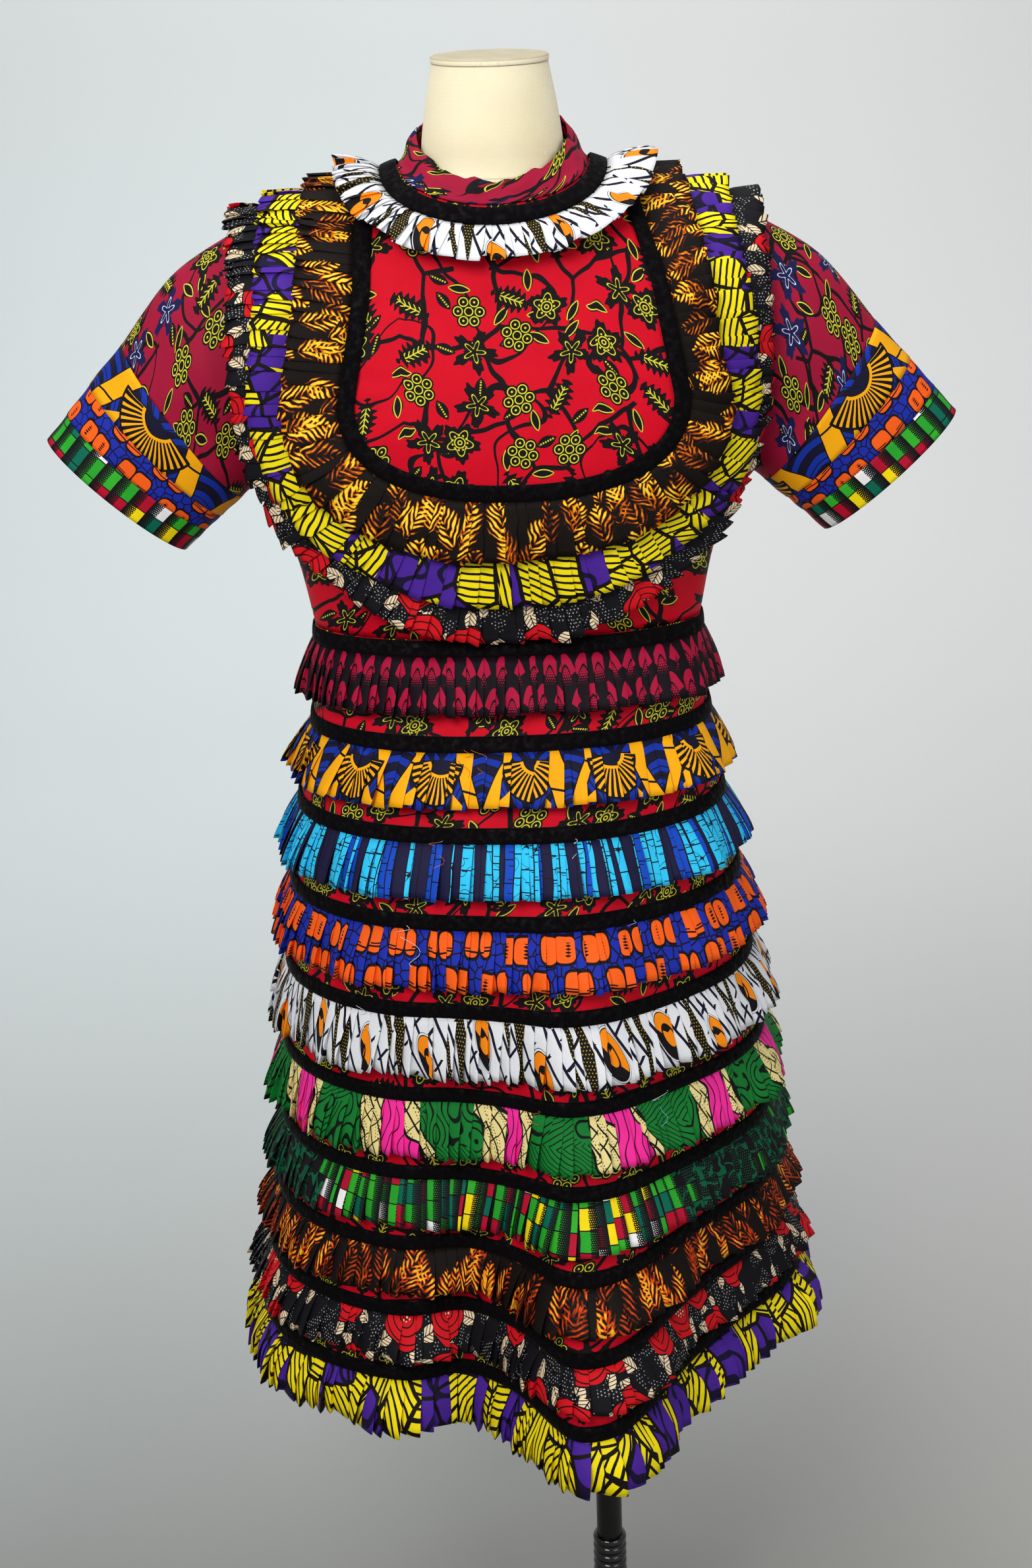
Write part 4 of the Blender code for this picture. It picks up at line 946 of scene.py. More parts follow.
def pleated_frill(name, node, cotton, rails, normals, depth, fold, seed, shift):
    """A knife-pleated strip for a solid, whose print starts this far along its cloth."""
    points, cut, length = knife_pleats(rails, normals, depth, fold, seed)
    cut[..., 0] += shift
    piece = sew(name, node, points, cut, cotton, RUFFLE_WALL)


def arch_print(p):
    """Scales of maroon pointed arches on black, each filled with dots that fade downwards."""
    ink, maroon = dye(21, 12, 19), dye(172, 16, 58)
    x, y = strayed(p, 1.4, 20.0).split()[:2]
    wide, high = 27.0, 25.0
    u = ((x / wide + (y / high).whole() * 0.5).part() - 0.5) * wide
    v = (y / high).part() * high
    edge = 25.4 * (1.0 - (abs(u) / 13.3) ** 1.9)
    inner = 15.5 * (1.0 - (abs(u) / 6.8) ** 1.8)
    colour = lay(ink, maroon, (v < edge) * (v > inner) * (v > 4.0 + abs(u) * 0.7))
    size = ((v + 2.0) / 11.0).clamp() * 1.05
    colour = lay(colour, maroon, (v < inner - 1.6) * dots(x, y, 2.1, size.top(0.10)))
    return lay(colour, ink, (v < edge) * line(v - inner, 0.9))


def cane_print(p):
    """Upright canes of uneven widths in navy, royal and sky blue, with black joints."""
    ink = dye(22, 20, 34)
    x, y = strayed(p, 2.6, 46.0).split()[:2]
    canes, rims = [cells(x, 8.2, 0.75, feature, "W", "1D") for feature in ("F1", "DISTANCE_TO_EDGE")]
    lot = canes.sibling("Color").split()[0]
    blues = flat_paints(lot, [(0.0, dye(29, 27, 62)), (0.34, dye(20, 74, 190)), (0.54, dye(48, 198, 246))])
    colour = lay(blues, ink, rims < 0.075)
    joint = (y / 19.0 + lot * 7.3).part() < 0.055
    twig = ((y / 11.0 + lot * 3.1).part() < 0.07) * ((x * 0.5).wave() > 0.2)
    colour = lay(colour, ink, (lot > 0.34) * (joint + twig).clamp())
    crack = line(grain(p.shift((90.0, 10.0, 0.0)), 16.0, 0.0) - 0.5, 0.008)
    return lay(colour, ink, (lot > 0.54) * crack)


def branch_print(p):
    """White with dark forked branches, black bands of golden dots, and orange ovals in black hoods."""
    ink, black = dye(18, 16, 40), dye(18, 14, 18)
    gold, white = dye(250, 140, 14), dye(228, 230, 234)
    x, y = strayed(p, 3.4, 42.0).split()[:2]
    apart, repeat = 31.0, 104.0
    forks = stripes((x - y * 0.75) / apart, 0.052) * ((y / 25.0 + (x / apart).whole() * 0.37).part() < 0.5)
    colour = lay(white, ink, stripes((x + y * 0.55) / 18.5, 0.082).top(forks))
    u = from_middle(x, repeat)
    band = line(u - 38.0 + y * 0.30, 6.5).top(line(u - 16.0 + y * 0.30, 2.4))
    colour = lay(colour, black, band)
    colour = lay(colour, dye(200, 170, 40), band * dots(x, y, 2.8, 0.5))
    v = from_middle(y, 58.0) + ((x / repeat).whole() * 2.4).wave() * 12.0
    slid = u + 18.0 + v * 0.30
    away = (slid * slid / 1.3 + v * v / 4.4) ** 0.5
    colour = lay(colour, black, away < 11.6)
    colour = lay(colour, gold, (away < 10.2) * (away > 5.6) * (v + slid * 1.2 > -4.0))
    colour = lay(colour, gold, (away < 4.4) * (v < 3.0 + abs(slid) * 0.6))
    return lay(colour, white, line(away - 11.0, 0.35))


def leaf_print(p):
    """Broad green leaves with black veins, next to cream and pink petals."""
    ink, green = dye(12, 20, 14), dye(18, 122, 48)
    cream, pink = dye(240, 222, 150), dye(252, 48, 160)
    soft = strayed(p, 7.0, 34.0)
    x, y = soft.split()[:2]
    u = ((x + y * 0.35 + (grain(p, 60.0, 1.0) - 0.5) * 70.0) / 190.0).part() * 176.0
    ribs = stripes((x * 0.9 - abs((y / 46.0).part() - 0.5) * 60.0) / 6.2, 0.11)
    swirl = stripes(grain(soft, 40.0, 0.0) * 12.0, 0.13)
    colour = lay(green, ink, lay(swirl, ribs, grain(p, 70.0, 0.0) > 0.5))
    slant = x + y * 0.7
    petal = lay(cream, ink, stripes(slant / 12.0, 0.08) + stripes((x - y * 0.9) / 19.0, 0.04))
    petal = lay(petal, dye(66, 42, 28), ((slant / 24.0).part() > 0.5) * dots(x, y, 2.6, 0.55))
    cream_start, pink_start, pink_end, cream_end = borders = (72.0, 106.0, 144.0, 160.0)
    colour = lay(colour, petal, (u > cream_start) * (u < cream_end))
    veins = stripes((x + 3.0 * (y * 0.12).wave()) / 8.4, 0.07)
    colour = lay(colour, lay(pink, dye(70, 8, 50), veins), (u > pink_start) * (u < pink_end))
    for border in borders:
        colour = lay(colour, ink, line(u - border, 1.2))
    return colour


def flame_print(p, heart, bright, core):
    """Glowing feathers of flame on black: rows of barbs, yellow in the middle and brown at the rim."""
    glow = None
    for shift, apart in (((0.0, 0.0, 0.0), 37.0), ((71.0, 39.0, 0.0), 48.0)):
        x, y = spots(strayed(p.shift(shift), 3.0, 11.0), apart, 0.7, swing=1.1, rest=0.5)[:2]
        reach = (13.5 * (1.0 - ((y - 1.0) / 21.0) ** 2.0)).top(0.4)
        barb = ((y - abs(x) * 1.25) / 6.2 + 40.0).part() - 0.5
        tip = (abs(x) / reach - 0.50) ** 2.0
        here = (1.16 - (barb * barb) * 6.6 - tip * 2.3) * (reach > 0.6)
        glow = here if glow is None else glow.top(here)
    glow = (glow - 0.14) * (0.40 + grain(p, 4.4, 2.0) * 1.12)
    glow = glow * (0.60 + (grain(p.shift((20.0, 5.0, 0.0)), 40.0, 0.0) - 0.45).clamp() * 7.0).low(1.06)
    stops = [(0.0, dye(18, 11, 8)), (0.28, dye(36, 15, 8)), (0.43, dye(130, 46, 6)),
             (0.56, heart), (0.72, bright), (0.92, core)]
    return Ink.node("ValToRGB", {"stops": stops}, {0: glow.clamp()})


def rose_print(p):
    """Red roses with cream leaves on black that is patched with a mesh of white dots."""
    ink = dye(17, 16, 22)
    x, y = spots(p.shift((13.0, 7.0, 0.0)), 30.0)[:2]
    mesh = dots(x, y, 2.9, 0.56) * stripes(x / 8.7, 0.34) * (grain(p, 27.0, 1.0) > 0.49)
    colour = lay(ink, dye(176, 176, 172), mesh)
    x, y, away = spots(p, 76.0, 0.5)[:3]
    angle = y.bearing(x)
    across, along = round_petals(away, angle, 5.0, 33.0)
    half = 6.6 * (1.0 - (along / 11.0) ** 2.0)
    leaf = line(across, half)
    colour = lay(colour, dye(14, 10, 12), line(across, half + 1.1))
    colour = lay(colour, dye(246, 222, 186), leaf)
    veins = stripes(along / 3.6 + abs(across) * 0.24, 0.13) + line(across, 0.5)
    colour = lay(colour, dye(20, 12, 14), leaf * veins.clamp())
    bloom = away - 1.8 * (angle * 5.0).wave()
    colour = lay(colour, dye(14, 10, 12), bloom < 28.0)
    curl = stripes(away / 6.4 + angle / 6.2832 + 0.16 * (angle * 3.0).wave(), 0.09)
    colour = lay(colour, lay(dye(214, 18, 30), dye(26, 8, 12), curl), bloom < 26.6)
    return lay(colour, dye(250, 228, 190), (away < 7.0) * dots(x, y, 3.4, 0.95))


def sun_print(p):
    """Patches of yellow with black hatching and of violet, with thick black borders."""
    ink = dye(20, 14, 18)
    soft, patch = strayed(p, 2.2, 24.0), 37.0
    x, y, _, lots = spots(soft, patch)
    edge = cells(soft, patch, 0.8, "DISTANCE_TO_EDGE")
    hatch = ((x + 0.5 * y * (lots[1] - 0.5)) / 6.0).part() < 0.34
    yellow = lay(dye(250, 228, 16), ink, hatch)
    violet = lay(dye(74, 36, 150), dye(24, 16, 50), line(grain(p, 30.0, 0.0) - 0.5, 0.036))
    broad = (soft.split()[0] / 82.0 + 0.3).part() < 0.5
    colour = lay(yellow, violet, lots[0] < 0.08 + 0.62 * broad)
    return lay(colour, ink, edge < 0.046)


EMBER, EMBER_BRIGHT, EMBER_CORE = dye(214, 58, 14), dye(244, 106, 20), dye(252, 196, 40)
arch_cotton = wax_cotton("arch_cotton", arch_print)
cane_cotton = wax_cotton("cane_cotton", cane_print)
big_barrel_cotton = wax_cotton("big_barrel_cotton",
                               lambda p: barrel_print(p.shift((0.0, -3.0, 0.0)).times(0.76)))
branch_cotton = wax_cotton("branch_cotton", branch_print)
leaf_cotton = wax_cotton("leaf_cotton", leaf_print)
shaded_block_cotton = wax_cotton("shaded_block_cotton", lambda p: block_print(p, 1160.0))
ember_cotton = wax_cotton("ember_cotton", lambda p: flame_print(p, EMBER, EMBER_BRIGHT, EMBER_CORE))
rose_cotton = wax_cotton("rose_cotton", rose_print)
sun_cotton = wax_cotton("sun_cotton", sun_print)

FrillCut = namedtuple("FrillCut", "cotton slot width spread tuck lift sway ragged")
FRILLS = [
    FrillCut(arch_cotton, "arch_cotton", 0.0080, 0.35, 0.36, 0.0050, 0.0014, 0.0010),
    FrillCut(fan_cotton, "fan_cotton", 0.0104, 0.34, 0.52, 0.0056, 0.0010, 0.0007),
    FrillCut(cane_cotton, "cane_cotton", 0.0108, 0.34, 0.38, 0.0059, 0.0010, 0.0007),
    FrillCut(big_barrel_cotton, "barrel_cotton", 0.0092, 0.36, 0.38, 0.0060, 0.0012, 0.0008),
    FrillCut(branch_cotton, "branch_cotton", 0.0092, 0.38, 0.38, 0.0064, 0.0016, 0.0011),
    FrillCut(leaf_cotton, "leaf_cotton", 0.0100, 0.36, 0.36, 0.0066, 0.0014, 0.0010),
    FrillCut(shaded_block_cotton, "block_cotton", 0.0108, 0.34, 0.36, 0.0062, 0.0010, 0.0008),
    FrillCut(ember_cotton, "flame_cotton", 0.0108, 0.34, 0.36, 0.0061, 0.0012, 0.0010),
    FrillCut(rose_cotton, "rose_cotton", 0.0108, 0.36, 0.36, 0.0062, 0.0014, 0.0010),
    FrillCut(sun_cotton, "sun_cotton", 0.0118, 0.32, 0.36, 0.0066, 0.0014, 0.0013),
]
SEAM_GAP, CUT_EASE, CUT_SHIFT = 0.0002, 1.04, 0.37
FRILL_END, LAST_DROP = 0.76, 0.032
TIER_WAVES, STAND_OUT, TIER_WAVE, HEM_DROOP = 12, 0.0125, 0.0036, 0.0030
SWELL, SWELLS = 0.3, 5
rows = np.linspace(0.0, 1.0, 9)
puff = 1.0 - (1.0 - rows) ** 1.5
for number, (tier, frill) in enumerate(zip(TIERS[:-1], FRILLS), 1):
    last = number == len(FRILLS)
    head = tier.height - RIBBON_WIDTH - SEAM_GAP
    drop = LAST_DROP if last else (head - TIERS[number].height) * FRILL_END
    rings = np.stack([skirt_ring(head - drop * share) for share in rows])
    if last:
        rings[:, :, 2] = rings[:, :, 2] - np.maximum(0.0, HEM - (head - drop * rows))[:, None]
    normals = round_facing(rings)
    round_share = lengths(rings[:1], 1)[0] / lengths(rings[:1], 1)[0, -1]
    wave = np.sin(2.0 * np.pi * TIER_WAVES * round_share + 0.9 * number)
    swell = 1.0 + SWELL * np.sin(2.0 * np.pi * SWELLS * round_share + number)
    stand = puff[:, None] * (STAND_OUT + TIER_WAVE * swell * wave)[None, :]
    out = HEAD_LIFT + stand - HEM_DROOP * rows[:, None]
    pleated_frill(f"tier_{number}_frill", f"tier_ruffle_{number:02d}", frill.cotton,
                  rings + normals * out[..., None], normals, drop * CUT_EASE, Fold(*frill[2:]),
                  40 + number, CUT_SHIFT * number)


# Yoke frills: three pleated rings, one over the other, that pass over both shoulders and hang in a deep
# U in front and behind: flames nearest the ribbon, then yellow and violet, then roses on black at the edge.
Ring = namedtuple("Ring", "shoulder_x side_x side_height bottom_height shift squareness")
YOKE_SEAM = Ring(0.0995, 0.135, 1.336, 1.263, 0.011, 2.40)
FLAME_EDGE = Ring(0.146, 0.177, 1.334, 1.209, 0.004, 2.25)
VIOLET_EDGE = Ring(0.184, 0.200, 1.330, 1.169, 0.003, 2.05)
ROSE_EDGE = Ring(0.211, 0.207, 1.325, 1.137, 0.000, 2.00)
SHOULDER_GIRTH, YOKE_NARROWING = 0.140, 1.3
YOKE_LIFT, SEAM_LIFT, SEAM_REACH = 0.0016, 0.0023, 0.030


def ring_between(first, second, share):
    return Ring(*[a + (b - a) * share for a, b in zip(first, second)])


def ring_widened(ring, distance):
    return Ring(ring.shoulder_x + distance, ring.side_x + distance, ring.side_height,
                ring.bottom_height - distance, ring.shift, ring.squareness)


def even_steps(points, normals, count):
    """Points and directions at even steps along a line, with both its ends."""
    run = np.concatenate([[0.0], np.cumsum(np.linalg.norm(np.diff(points, axis=0), axis=1))])
    places = np.linspace(0.0, run[-1], count + 1)
    return along_rows(points, run, places), unit(along_rows(normals, run, places))


def yoke_ring(ring, half=280):
    """A closed ring over both shoulders that lies on the bodice: its points and outward directions."""
    drop = shoulder_height(ring.side_x) - ring.side_height
    girth = SHOULDER_GIRTH + drop - SHOULDER_ROUND
    share = 1.0 - np.arange(60) / 60.0
    x = ring.side_x + (ring.shoulder_x - ring.side_x) * (1.0 - (1.0 - share) ** YOKE_NARROWING)
    along = girth * (1.0 - share)
    fall = np.where(along >= SHOULDER_GIRTH, SHOULDER_ROUND + along - SHOULDER_GIRTH,
                    SHOULDER_ROUND * (1.0 - np.cos(np.minimum(1.0, along / SHOULDER_GIRTH) * np.pi / 2.0)))
    turn = np.radians(90.0 * (1.0 - np.arange(61) / 60.0))
    low_x = ring.side_x * np.sin(turn) ** (2.0 / ring.squareness)
    sag = np.maximum(0.0, np.cos(turn)) ** (2.0 / ring.squareness)
    xs = np.concatenate([x, low_x])
    heights = np.concatenate([shoulder_height(x) - fall,
                              ring.side_height - (ring.side_height - ring.bottom_height) * sag])
    route_x = np.concatenate([-xs, xs[-2::-1]])
    route_z = np.concatenate([heights, heights[-2::-1]])
    all_points, all_normals = [], []
    for side in (FRONT, BACK):
        sx, sz = route_x[::-side], route_z[::-side]
        down = np.minimum(1.0, (shoulder_height(sx) - sz) / SHOULDER_ROUND)
        points, normals = even_steps(*on_bodice(side, sx + ring.shift * down, sz), half)
        all_points.append(points[:-1])
        all_normals.append(normals[:-1])
    points, normals = np.concatenate(all_points), np.concatenate(all_normals)
    return np.concatenate([points, points[:1]]), np.concatenate([normals, normals[:1]])


def squared(seam, ring):
    """The points and directions of a yoke ring that lie square to each point of its seam."""
    points, normals = yoke_ring(ring)
    count = len(points) - 1
    near = ((seam[:-1, None] - points[None, :-1]) ** 2).sum(-1).argmin(1)
    slip = (near - np.arange(count) + count // 2) % count - count // 2
    slip = np.convolve(np.concatenate([slip[-20:], slip, slip[:20]]), np.ones(41) / 41.0, "valid")
    numbers = np.arange(count + 1)
    places = (numbers + np.append(slip, slip[0])) % count
    return along_rows(points, numbers, places), unit(along_rows(normals, numbers, places))


def resting(points, normals, above=0.0):
    """Points lying on the bodice, a little higher over the bulk of the shoulder seams."""
    lift = YOKE_LIFT + SEAM_LIFT * np.exp(-(points[:, 1] / SEAM_REACH) ** 2) + above
    return points + normals * lift[:, None]


GLOW, GLOW_BRIGHT, GLOW_CORE = dye(224, 112, 8), dye(252, 182, 14), dye(255, 226, 60)
flame_cotton = wax_cotton("flame_cotton", lambda p: flame_print(p, GLOW, GLOW_BRIGHT, GLOW_CORE))
YokeCut = namedtuple("YokeCut", "name node start edge cotton slot depth fold")
under_ribbon = ring_widened(YOKE_SEAM, RIBBON_WIDTH / 2.0 - SEAM_GAP)
YOKE_CUTS = [
    YokeCut("flame_frill", "yoke_ruffle_flame", under_ribbon, FLAME_EDGE,
            flame_cotton, "flame_cotton", 0.052, Fold(0.0108, 0.32, 0.30, 0.0034, 0.0010, 0.0007)),
    YokeCut("violet_frill", "yoke_ruffle_violet", ring_between(YOKE_SEAM, FLAME_EDGE, 0.84), VIOLET_EDGE,
            sun_cotton, "sun_cotton", 0.049, Fold(0.0108, 0.32, 0.30, 0.0036, 0.0010, 0.0008)),
    YokeCut("rose_frill", "yoke_ruffle_rose", ring_between(FLAME_EDGE, VIOLET_EDGE, 0.80), ROSE_EDGE,
            rose_cotton, "rose_cotton", 0.040, Fold(0.0100, 0.34, 0.30, 0.0042, 0.0014, 0.0012)),
]
WAVES, WAVE, TUCKED_IN = 14, 0.0022, 0.0004
YOKE_STAND, SHOULDER_STAND = 0.0095, 0.0050
for number, frill in enumerate(YOKE_CUTS):
    rails, facings = [], []
    seam = yoke_ring(frill.start)[0]
    for share in np.linspace(0.0, 1.0, 9):
        points, normals = squared(seam, ring_between(frill.start, frill.edge, share))
        foot = YOKE_SEAM.bottom_height
        high = np.clip((points[:, 2] - foot) / (SHOULDER_HIGH - foot), 0.0, 1.0)
        rise = 1.12 * share - 0.12 * share ** 2 if share < 0.5 else 0.56 + 0.88 * (share - 0.5)
        run = lengths(points[None], 1)[0]
        wave = np.sin(2.0 * np.pi * WAVES * run / run[-1] + 0.9 * number)
        stand = (YOKE_STAND + SHOULDER_STAND * high + WAVE * wave) * rise
        rails.append(resting(points, normals, stand - TUCKED_IN))
        facings.append(normals)
    pleated_frill(frill.name, frill.node, frill.cotton, np.stack(rails), np.stack(facings),
                  frill.depth, frill.fold, 70 + number, 0.23 + 0.31 * number)


# Yoke ribbon: the same velvet ribbon, stitched over the head of the flame frill all round the bib. It is
# one closed ring that goes over both shoulders and down the back.
edges = [yoke_ring(ring_widened(YOKE_SEAM, offset * RIBBON_WIDTH / 2.0)) for offset in (-1, 1)]
rings = np.stack([resting(*edge) for edge in edges])
band, around = ribbon("yoke_ribbon_velvet", rings, [edge[1] for edge in edges], 0.0, "yoke_ribbon", 21)


# Neck: a soft stand collar of the vine cotton, open at the centre back, with velvet ribbon round its
# foot and a pleated frill of the branch print under the ribbon, which lifts over the shoulders.
ROUTE_POINTS = 181
NECK_FALL = {FRONT: 0.93, BACK: 0.62}


def neck_ring(reach, count):
    """A line on the bodice at a reach outside the neckline, from centre back round to centre back."""
    half_width = NECK_HALF_WIDTH + reach
    side_height = shoulder_height(half_width)
    angle = np.linspace(0.0, 2.0 * np.pi, ROUTE_POINTS)
    x = -half_width * np.sin(angle)
    x[0], x[-1] = -GAP, GAP
    points, normals = np.empty((ROUTE_POINTS, 3)), np.empty((ROUTE_POINTS, 3))
    for side in (FRONT, BACK):
        mine = (np.cos(angle) > 0.0) == (side == BACK)
        low = SHOULDER_HIGH - NECK_DROP[side] - reach * NECK_FALL[side]
        height = side_height - (side_height - low) * np.abs(np.cos(angle[mine]))
        points[mine], normals[mine] = on_bodice(side, x[mine], height)
    return even_steps(points, normals, count)


BAND_TOP_HALF_WIDTH, BAND_TOP_FRONT, BAND_TOP_BACK = 0.0625, -0.0650, 0.0560
BAND_FRONT_HEIGHT, BAND_BACK_HEIGHT, BAND_DIP = 1.505, 1.556, 1.7
BAND_WALL, BAND_INSET, BAND_FLARE, BAND_CUT_X = 0.0013, 0.0006, 0.0020, 2.7
middle, half_depth = (BAND_TOP_FRONT + BAND_TOP_BACK) / 2.0, (BAND_TOP_BACK - BAND_TOP_FRONT) / 2.0
foot, normals = neck_ring(0.0, 140)
angle = np.arctan2(-foot[:, 0], foot[:, 1] - middle)
forward = (1.0 - np.cos(angle)) / 2.0
height = BAND_BACK_HEIGHT + (BAND_FRONT_HEIGHT - BAND_BACK_HEIGHT) * forward ** BAND_DIP
ripple = sum(size * np.sin(waves * angle + start)
             for size, waves, start in ((0.0011, 9.0, 0.6), (0.0009, 17.0, 2.0), (0.0005, 31.0, 0.0)))
top = np.stack([-BAND_TOP_HALF_WIDTH * np.sin(angle), middle + half_depth * np.cos(angle),
                height + ripple], 1)
top[[0, -1], 0] = foot[[0, -1], 0]
foot = foot + (0.0, 0.0, 0.0012)
outward = unit((foot - (0.0, middle, 0.0)) * (1.0, 1.0, 0.0))
rows = []
for share in np.linspace(0.0, 1.0, 12):
    bow = 0.0016 * math.sin(math.pi * share) + 0.0009 * math.sin(2.0 * math.pi * share)
    soft = 0.0007 * np.sin(13.0 * angle + 4.0 * share) * math.sin(math.pi * share)
    out = bow + soft + BAND_FLARE * share ** 7 - BAND_INSET
    rows.append(top + (foot - top) * share + outward * out[:, None])
points = np.stack(rows)
points[:, [0, -1], 0] = foot[[0, -1], 0]
cut = np.stack([lengths(points, 1) + BAND_CUT_X, -lengths(points, 0)], -1)
collar_band = sew("stand_collar", "neck_band", points, cut, wine_red, BAND_WALL)

RIBBON_START = 0.0024
edges = [neck_ring(RIBBON_START + offset, 200) for offset in (0.0, RIBBON_WIDTH)]
rings = np.stack([resting(*edge) for edge in edges])
band, around = ribbon("neck_ribbon_velvet", rings, [edge[1] for edge in edges], 0.0, "neck_ribbon", 22)

FRILL_START, FRILL_REACH, FRILL_DEPTH, FRILL_STAND = 0.0164, 0.047, 0.036, 0.0160
WING_X, WING_WIDTH, WING_GAIN = 0.11, 0.02, 0.20
rails, facings = [], []
for share in np.linspace(0.0, 1.0, 8):
    points, normals = neck_ring(FRILL_START + (FRILL_REACH - FRILL_START) * share, 280)
    run = lengths(points[None], 1)[0]
    wing = 1.0 + WING_GAIN * np.exp(-((np.abs(points[:, 0]) - WING_X) / WING_WIDTH) ** 2)
    stand = FRILL_STAND * share ** 0.6 * wing + WAVE * share * np.sin(2.0 * np.pi * WAVES * run / run[-1])
    rails.append(resting(points, normals, -TUCKED_IN) + normals * stand[:, None])
    facings.append(normals)
pleated_frill("neck_frill", "neck_ruffle", branch_cotton, np.stack(rails), np.stack(facings),
              FRILL_DEPTH, Fold(0.0072, 0.34, 0.34, 0.0046, 0.0016, 0.0014), 77, 0.02)


# Loose threads: ends of white and coloured sewing cotton that were never trimmed, lying on the ribbons
# and frills. Each is a thin curl of thread that starts in a seam and hangs clear of the cloth.
thread, shader = start_material("sewing_thread", 0.7, Specular_IOR_Level=0.2)
place = body_place()
tint = grain(place, 60.0, 0.0)
colour = lay(dye(226, 230, 238), dye(140, 186, 226), tint > 0.55)
feed(shader, "Base Color", lay(colour, dye(196, 110, 50), tint > 0.62))
feed(shader, "Roughness", 0.6 + grain(place, 0.6, 1.0) * 0.2)
raise_bumps(shader, grain(place, 0.3, 1.0), 0.05)


def curl(side, x, height, span, seed):
    """The middle line of a loose thread, from its start on the skirt."""
    dice = np.random.default_rng(seed)
    share = np.linspace(0.0, 1.0, 26)
    bends, swings = dice.uniform(0.4, 1.0, 3), dice.uniform(0.0, 6.3, 3)
    sway = sum(bends[i] * np.sin((2.0 + 2.7 * i) * share * 2.2 + swings[i]) for i in range(3)) * span * 0.17
    fall = height - span * (0.75 * share + 0.22 * np.sin(5.0 * share + swings[0]) * share)
    width = read(TIERS, fall, "half_width")
    middle = skirt_point(side, (x + sway - sway[0]) / width, fall)
    out = 0.0034 + 0.0135 * np.clip((height - 0.009 - fall) / 0.012, 0.0, 1.0) + 0.0016 * np.sin(9.0 * share)
    return middle + np.array([0.0, side, 0.0]) * out[:, None]


THREAD_RADIUS, THREAD_SIDES = 0.00019, 5
Loose = namedtuple("Loose", "side x tier span")
LOOSE = [
    Loose(FRONT, -0.040, 2, 0.022), Loose(FRONT, -0.034, 2, 0.030), Loose(FRONT, -0.058, 3, 0.020),
    Loose(FRONT, 0.052, 3, 0.016), Loose(FRONT, -0.092, 4, 0.034), Loose(FRONT, 0.098, 4, 0.018),
    Loose(FRONT, -0.140, 5, 0.026), Loose(FRONT, 0.010, 6, 0.020), Loose(FRONT, 0.120, 6, 0.024),
    Loose(BACK, 0.060, 3, 0.022), Loose(BACK, -0.080, 5, 0.026), Loose(BACK, 0.110, 7, 0.020),
]
points, faces = [], []
for number, end in enumerate(LOOSE):
    middle = curl(end.side, end.x, TIERS[end.tier - 1].height - 0.010, end.span, 300 + number)
    ahead = unit(np.gradient(middle, axis=0))
    across = unit(np.cross(ahead, (0.31, 0.87, 0.38)))
    over = np.cross(ahead, across)
    faces += ring_faces(len(middle), THREAD_SIDES, len(points))
    for i, spot in enumerate(middle):
        for corner in range(THREAD_SIDES):
            turn = corner * 2.0 * math.pi / THREAD_SIDES
            points.append(spot + THREAD_RADIUS * (across[i] * math.cos(turn) + over[i] * math.sin(turn)))
threads = make_piece("loose_threads", [tuple(point) for point in points], faces, thread)
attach(threads, "root")


# Setting for the picture: a seamless pale sweep under and behind the stand, with shade painted into its
# colour on the floor round the stand and on the left, soft light from both sides of the camera, from
# overhead and on the wall, and a camera above the dress that looks a little down on it.
sweep, shader = start_material("pale_sweep", 0.9)
place = body_place()
x, y, z = place.split()
tone = grain(place, 900.0, 2.0)
# Painted shade: the sweep turns from pale far back to mid grey on the floor round the stand and towards the
# camera, darker on the left; the wall is also a little darker high up.
distance = (y / 3800.0 - x * 0.00006).clamp()
across = (x / 1100.0 + 0.5).clamp()
near = lay(dye(106, 105, 99), dye(158, 158, 153), across)
far = lay(dye(232, 240, 241), dye(236, 237, 237), across)
far = lay(far, dye(226, 227, 225), (z / 2200.0 - 0.3).clamp())
wall = lay(far, near, (1.0 - distance / 1.3) ** 3.3)
feed(shader, "Base Color", lay(wall, dye(214, 216, 216), tone * 0.15))
raise_bumps(shader, grain(place, 2.5, 3.0), 0.2)
SWEEP_START, BEND_START, BEND_RADIUS, BEND_STEPS = -4.0, 3.3, 1.6, 24
SWEEP_TOP, SWEEP_HALF_WIDTH, UNDER_BASE = 4.2, 4.2, -0.0004
profile = [(SWEEP_START, UNDER_BASE), (BEND_START, UNDER_BASE)]
for step in range(1, BEND_STEPS + 1):
    bend = math.radians(90.0 * step / BEND_STEPS)
    profile.append((BEND_START + BEND_RADIUS * math.sin(bend),
                    UNDER_BASE + BEND_RADIUS * (1.0 - math.cos(bend))))
profile.append((BEND_START + BEND_RADIUS, SWEEP_TOP))
count = len(profile)
points = [(x, y, z) for x in (-SWEEP_HALF_WIDTH, SWEEP_HALF_WIDTH) for y, z in profile]
faces = [(i, i + 1, i + 1 + count, i + count) for i in range(count - 1)]
backdrop = make_piece("sweep", points, faces, sweep)


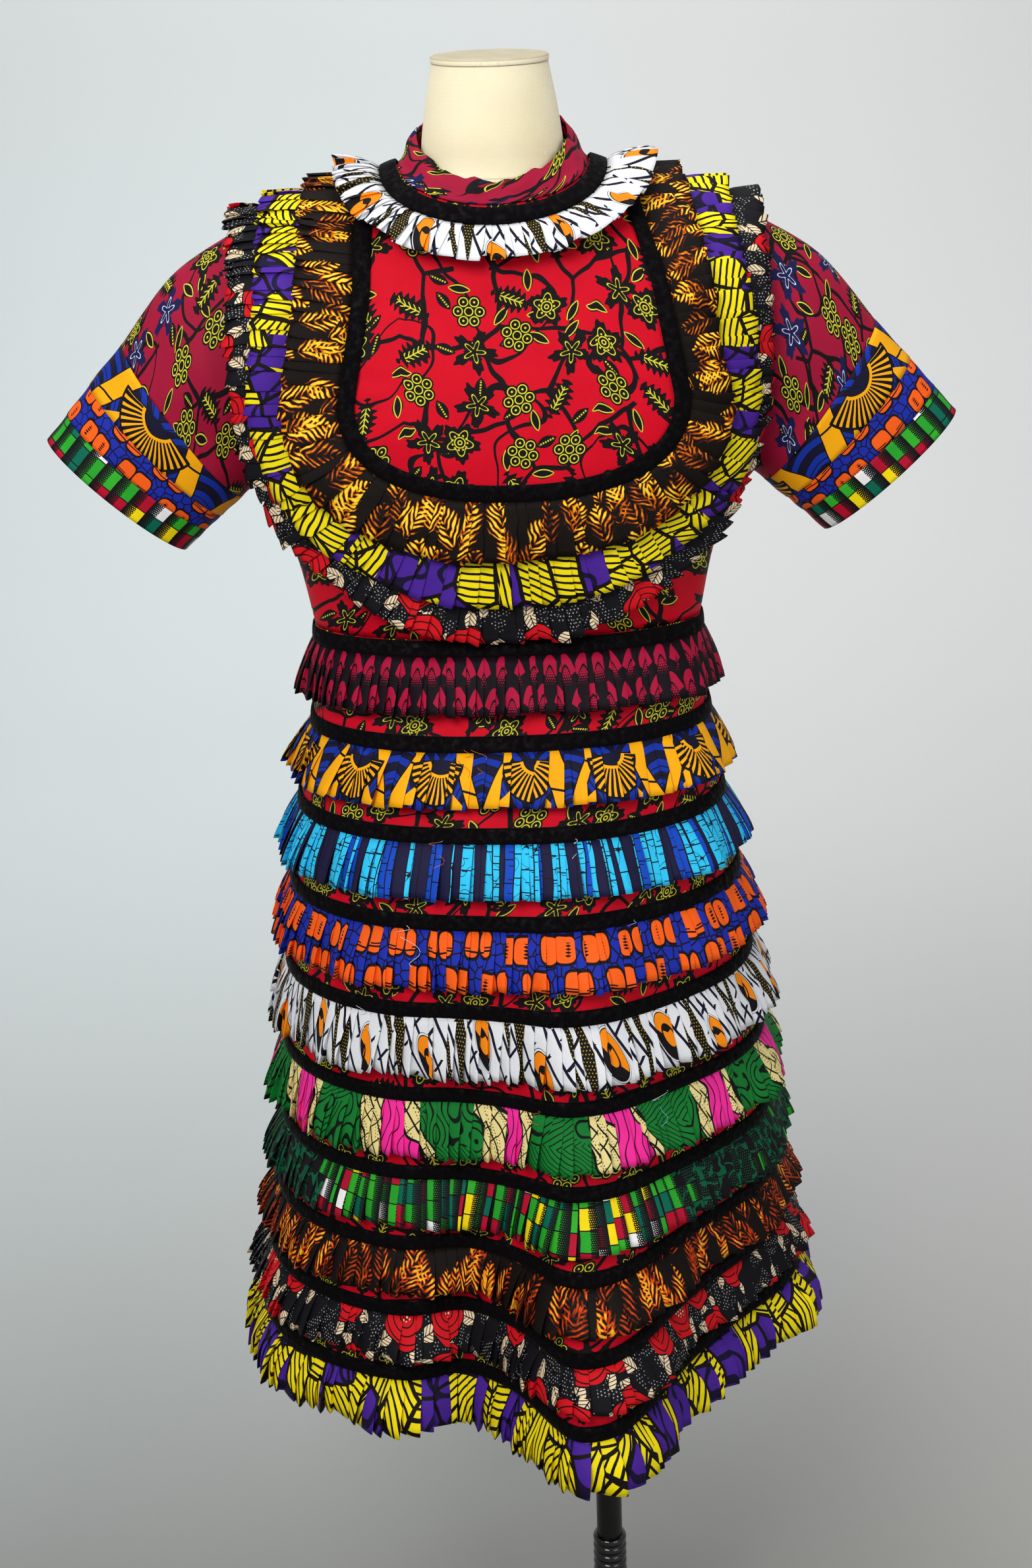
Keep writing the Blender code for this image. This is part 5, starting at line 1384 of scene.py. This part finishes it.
def soft_light(name, place, target, width, height, power, tint):
    """A soft box that faces its target."""
    lamp = bpy.data.lights.new(name, "AREA")
    lamp.shape, lamp.size, lamp.size_y = "RECTANGLE", width, height
    lamp.energy, lamp.color = power, tint
    holder = bpy.data.objects.new(name, lamp)
    aim = (Vector(target) - Vector(place)).to_track_quat("-Z", "Y")
    holder.matrix_world = Matrix.Translation(place) @ aim.to_matrix().to_4x4()
    bpy.context.scene.collection.objects.link(holder)


soft_light("key", (-0.9, -2.2, 2.7), (0.0, 0.0, 1.1), 1.5, 1.1, 56.0, (1.0, 0.99, 0.965))
soft_light("fill", (1.7, -2.0, 1.7), (0.0, 0.0, 1.0), 1.4, 1.6, 13.0, (0.97, 0.985, 1.0))
soft_light("overhead", (0.0, 0.2, 3.1), (0.0, 0.3, 1.0), 2.4, 1.8, 24.0, (1.0, 1.0, 1.0))
soft_light("wall_wash", (0.0, 2.4, 3.6), (0.0, 4.9, 1.4), 4.0, 0.6, 60.0, (1.0, 1.0, 1.0))
world = bpy.data.worlds.new("studio")
world.use_nodes = True
background = world.node_tree.nodes["Background"]
background.inputs["Color"].default_value = (0.965, 0.98, 1.0, 1.0)
background.inputs["Strength"].default_value = 0.34
bpy.context.scene.world = world
bpy.context.scene.view_settings.view_transform = "Standard"

camera = bpy.data.cameras.new("camera")
SENSOR, PHOTO_HEIGHT, FOCAL_PIXELS, AXIS_PIXEL = 36.0, 2380.0, 3400.0, 1095.0
camera.sensor_fit, camera.sensor_height = "VERTICAL", SENSOR
camera.lens = FOCAL_PIXELS / PHOTO_HEIGHT * SENSOR
camera.shift_y = (AXIS_PIXEL - PHOTO_HEIGHT / 2.0) / PHOTO_HEIGHT
pitch_down, roll = math.radians(17.0), math.radians(1.87)
ahead = Vector((0.0, math.cos(pitch_down), -math.sin(pitch_down)))
right = Vector((1.0, 0.0, 0.0))
turned = Matrix((right, right.cross(ahead), -ahead)).transposed() @ Matrix.Rotation(-roll, 3, "Z")
viewer = bpy.data.objects.new("camera", camera)
viewer.matrix_world = Matrix.Translation((0.004, -1.9, 1.615)) @ turned.to_4x4()
bpy.context.scene.collection.objects.link(viewer)
bpy.context.scene.camera = viewer

bpy.context.view_layer.update()
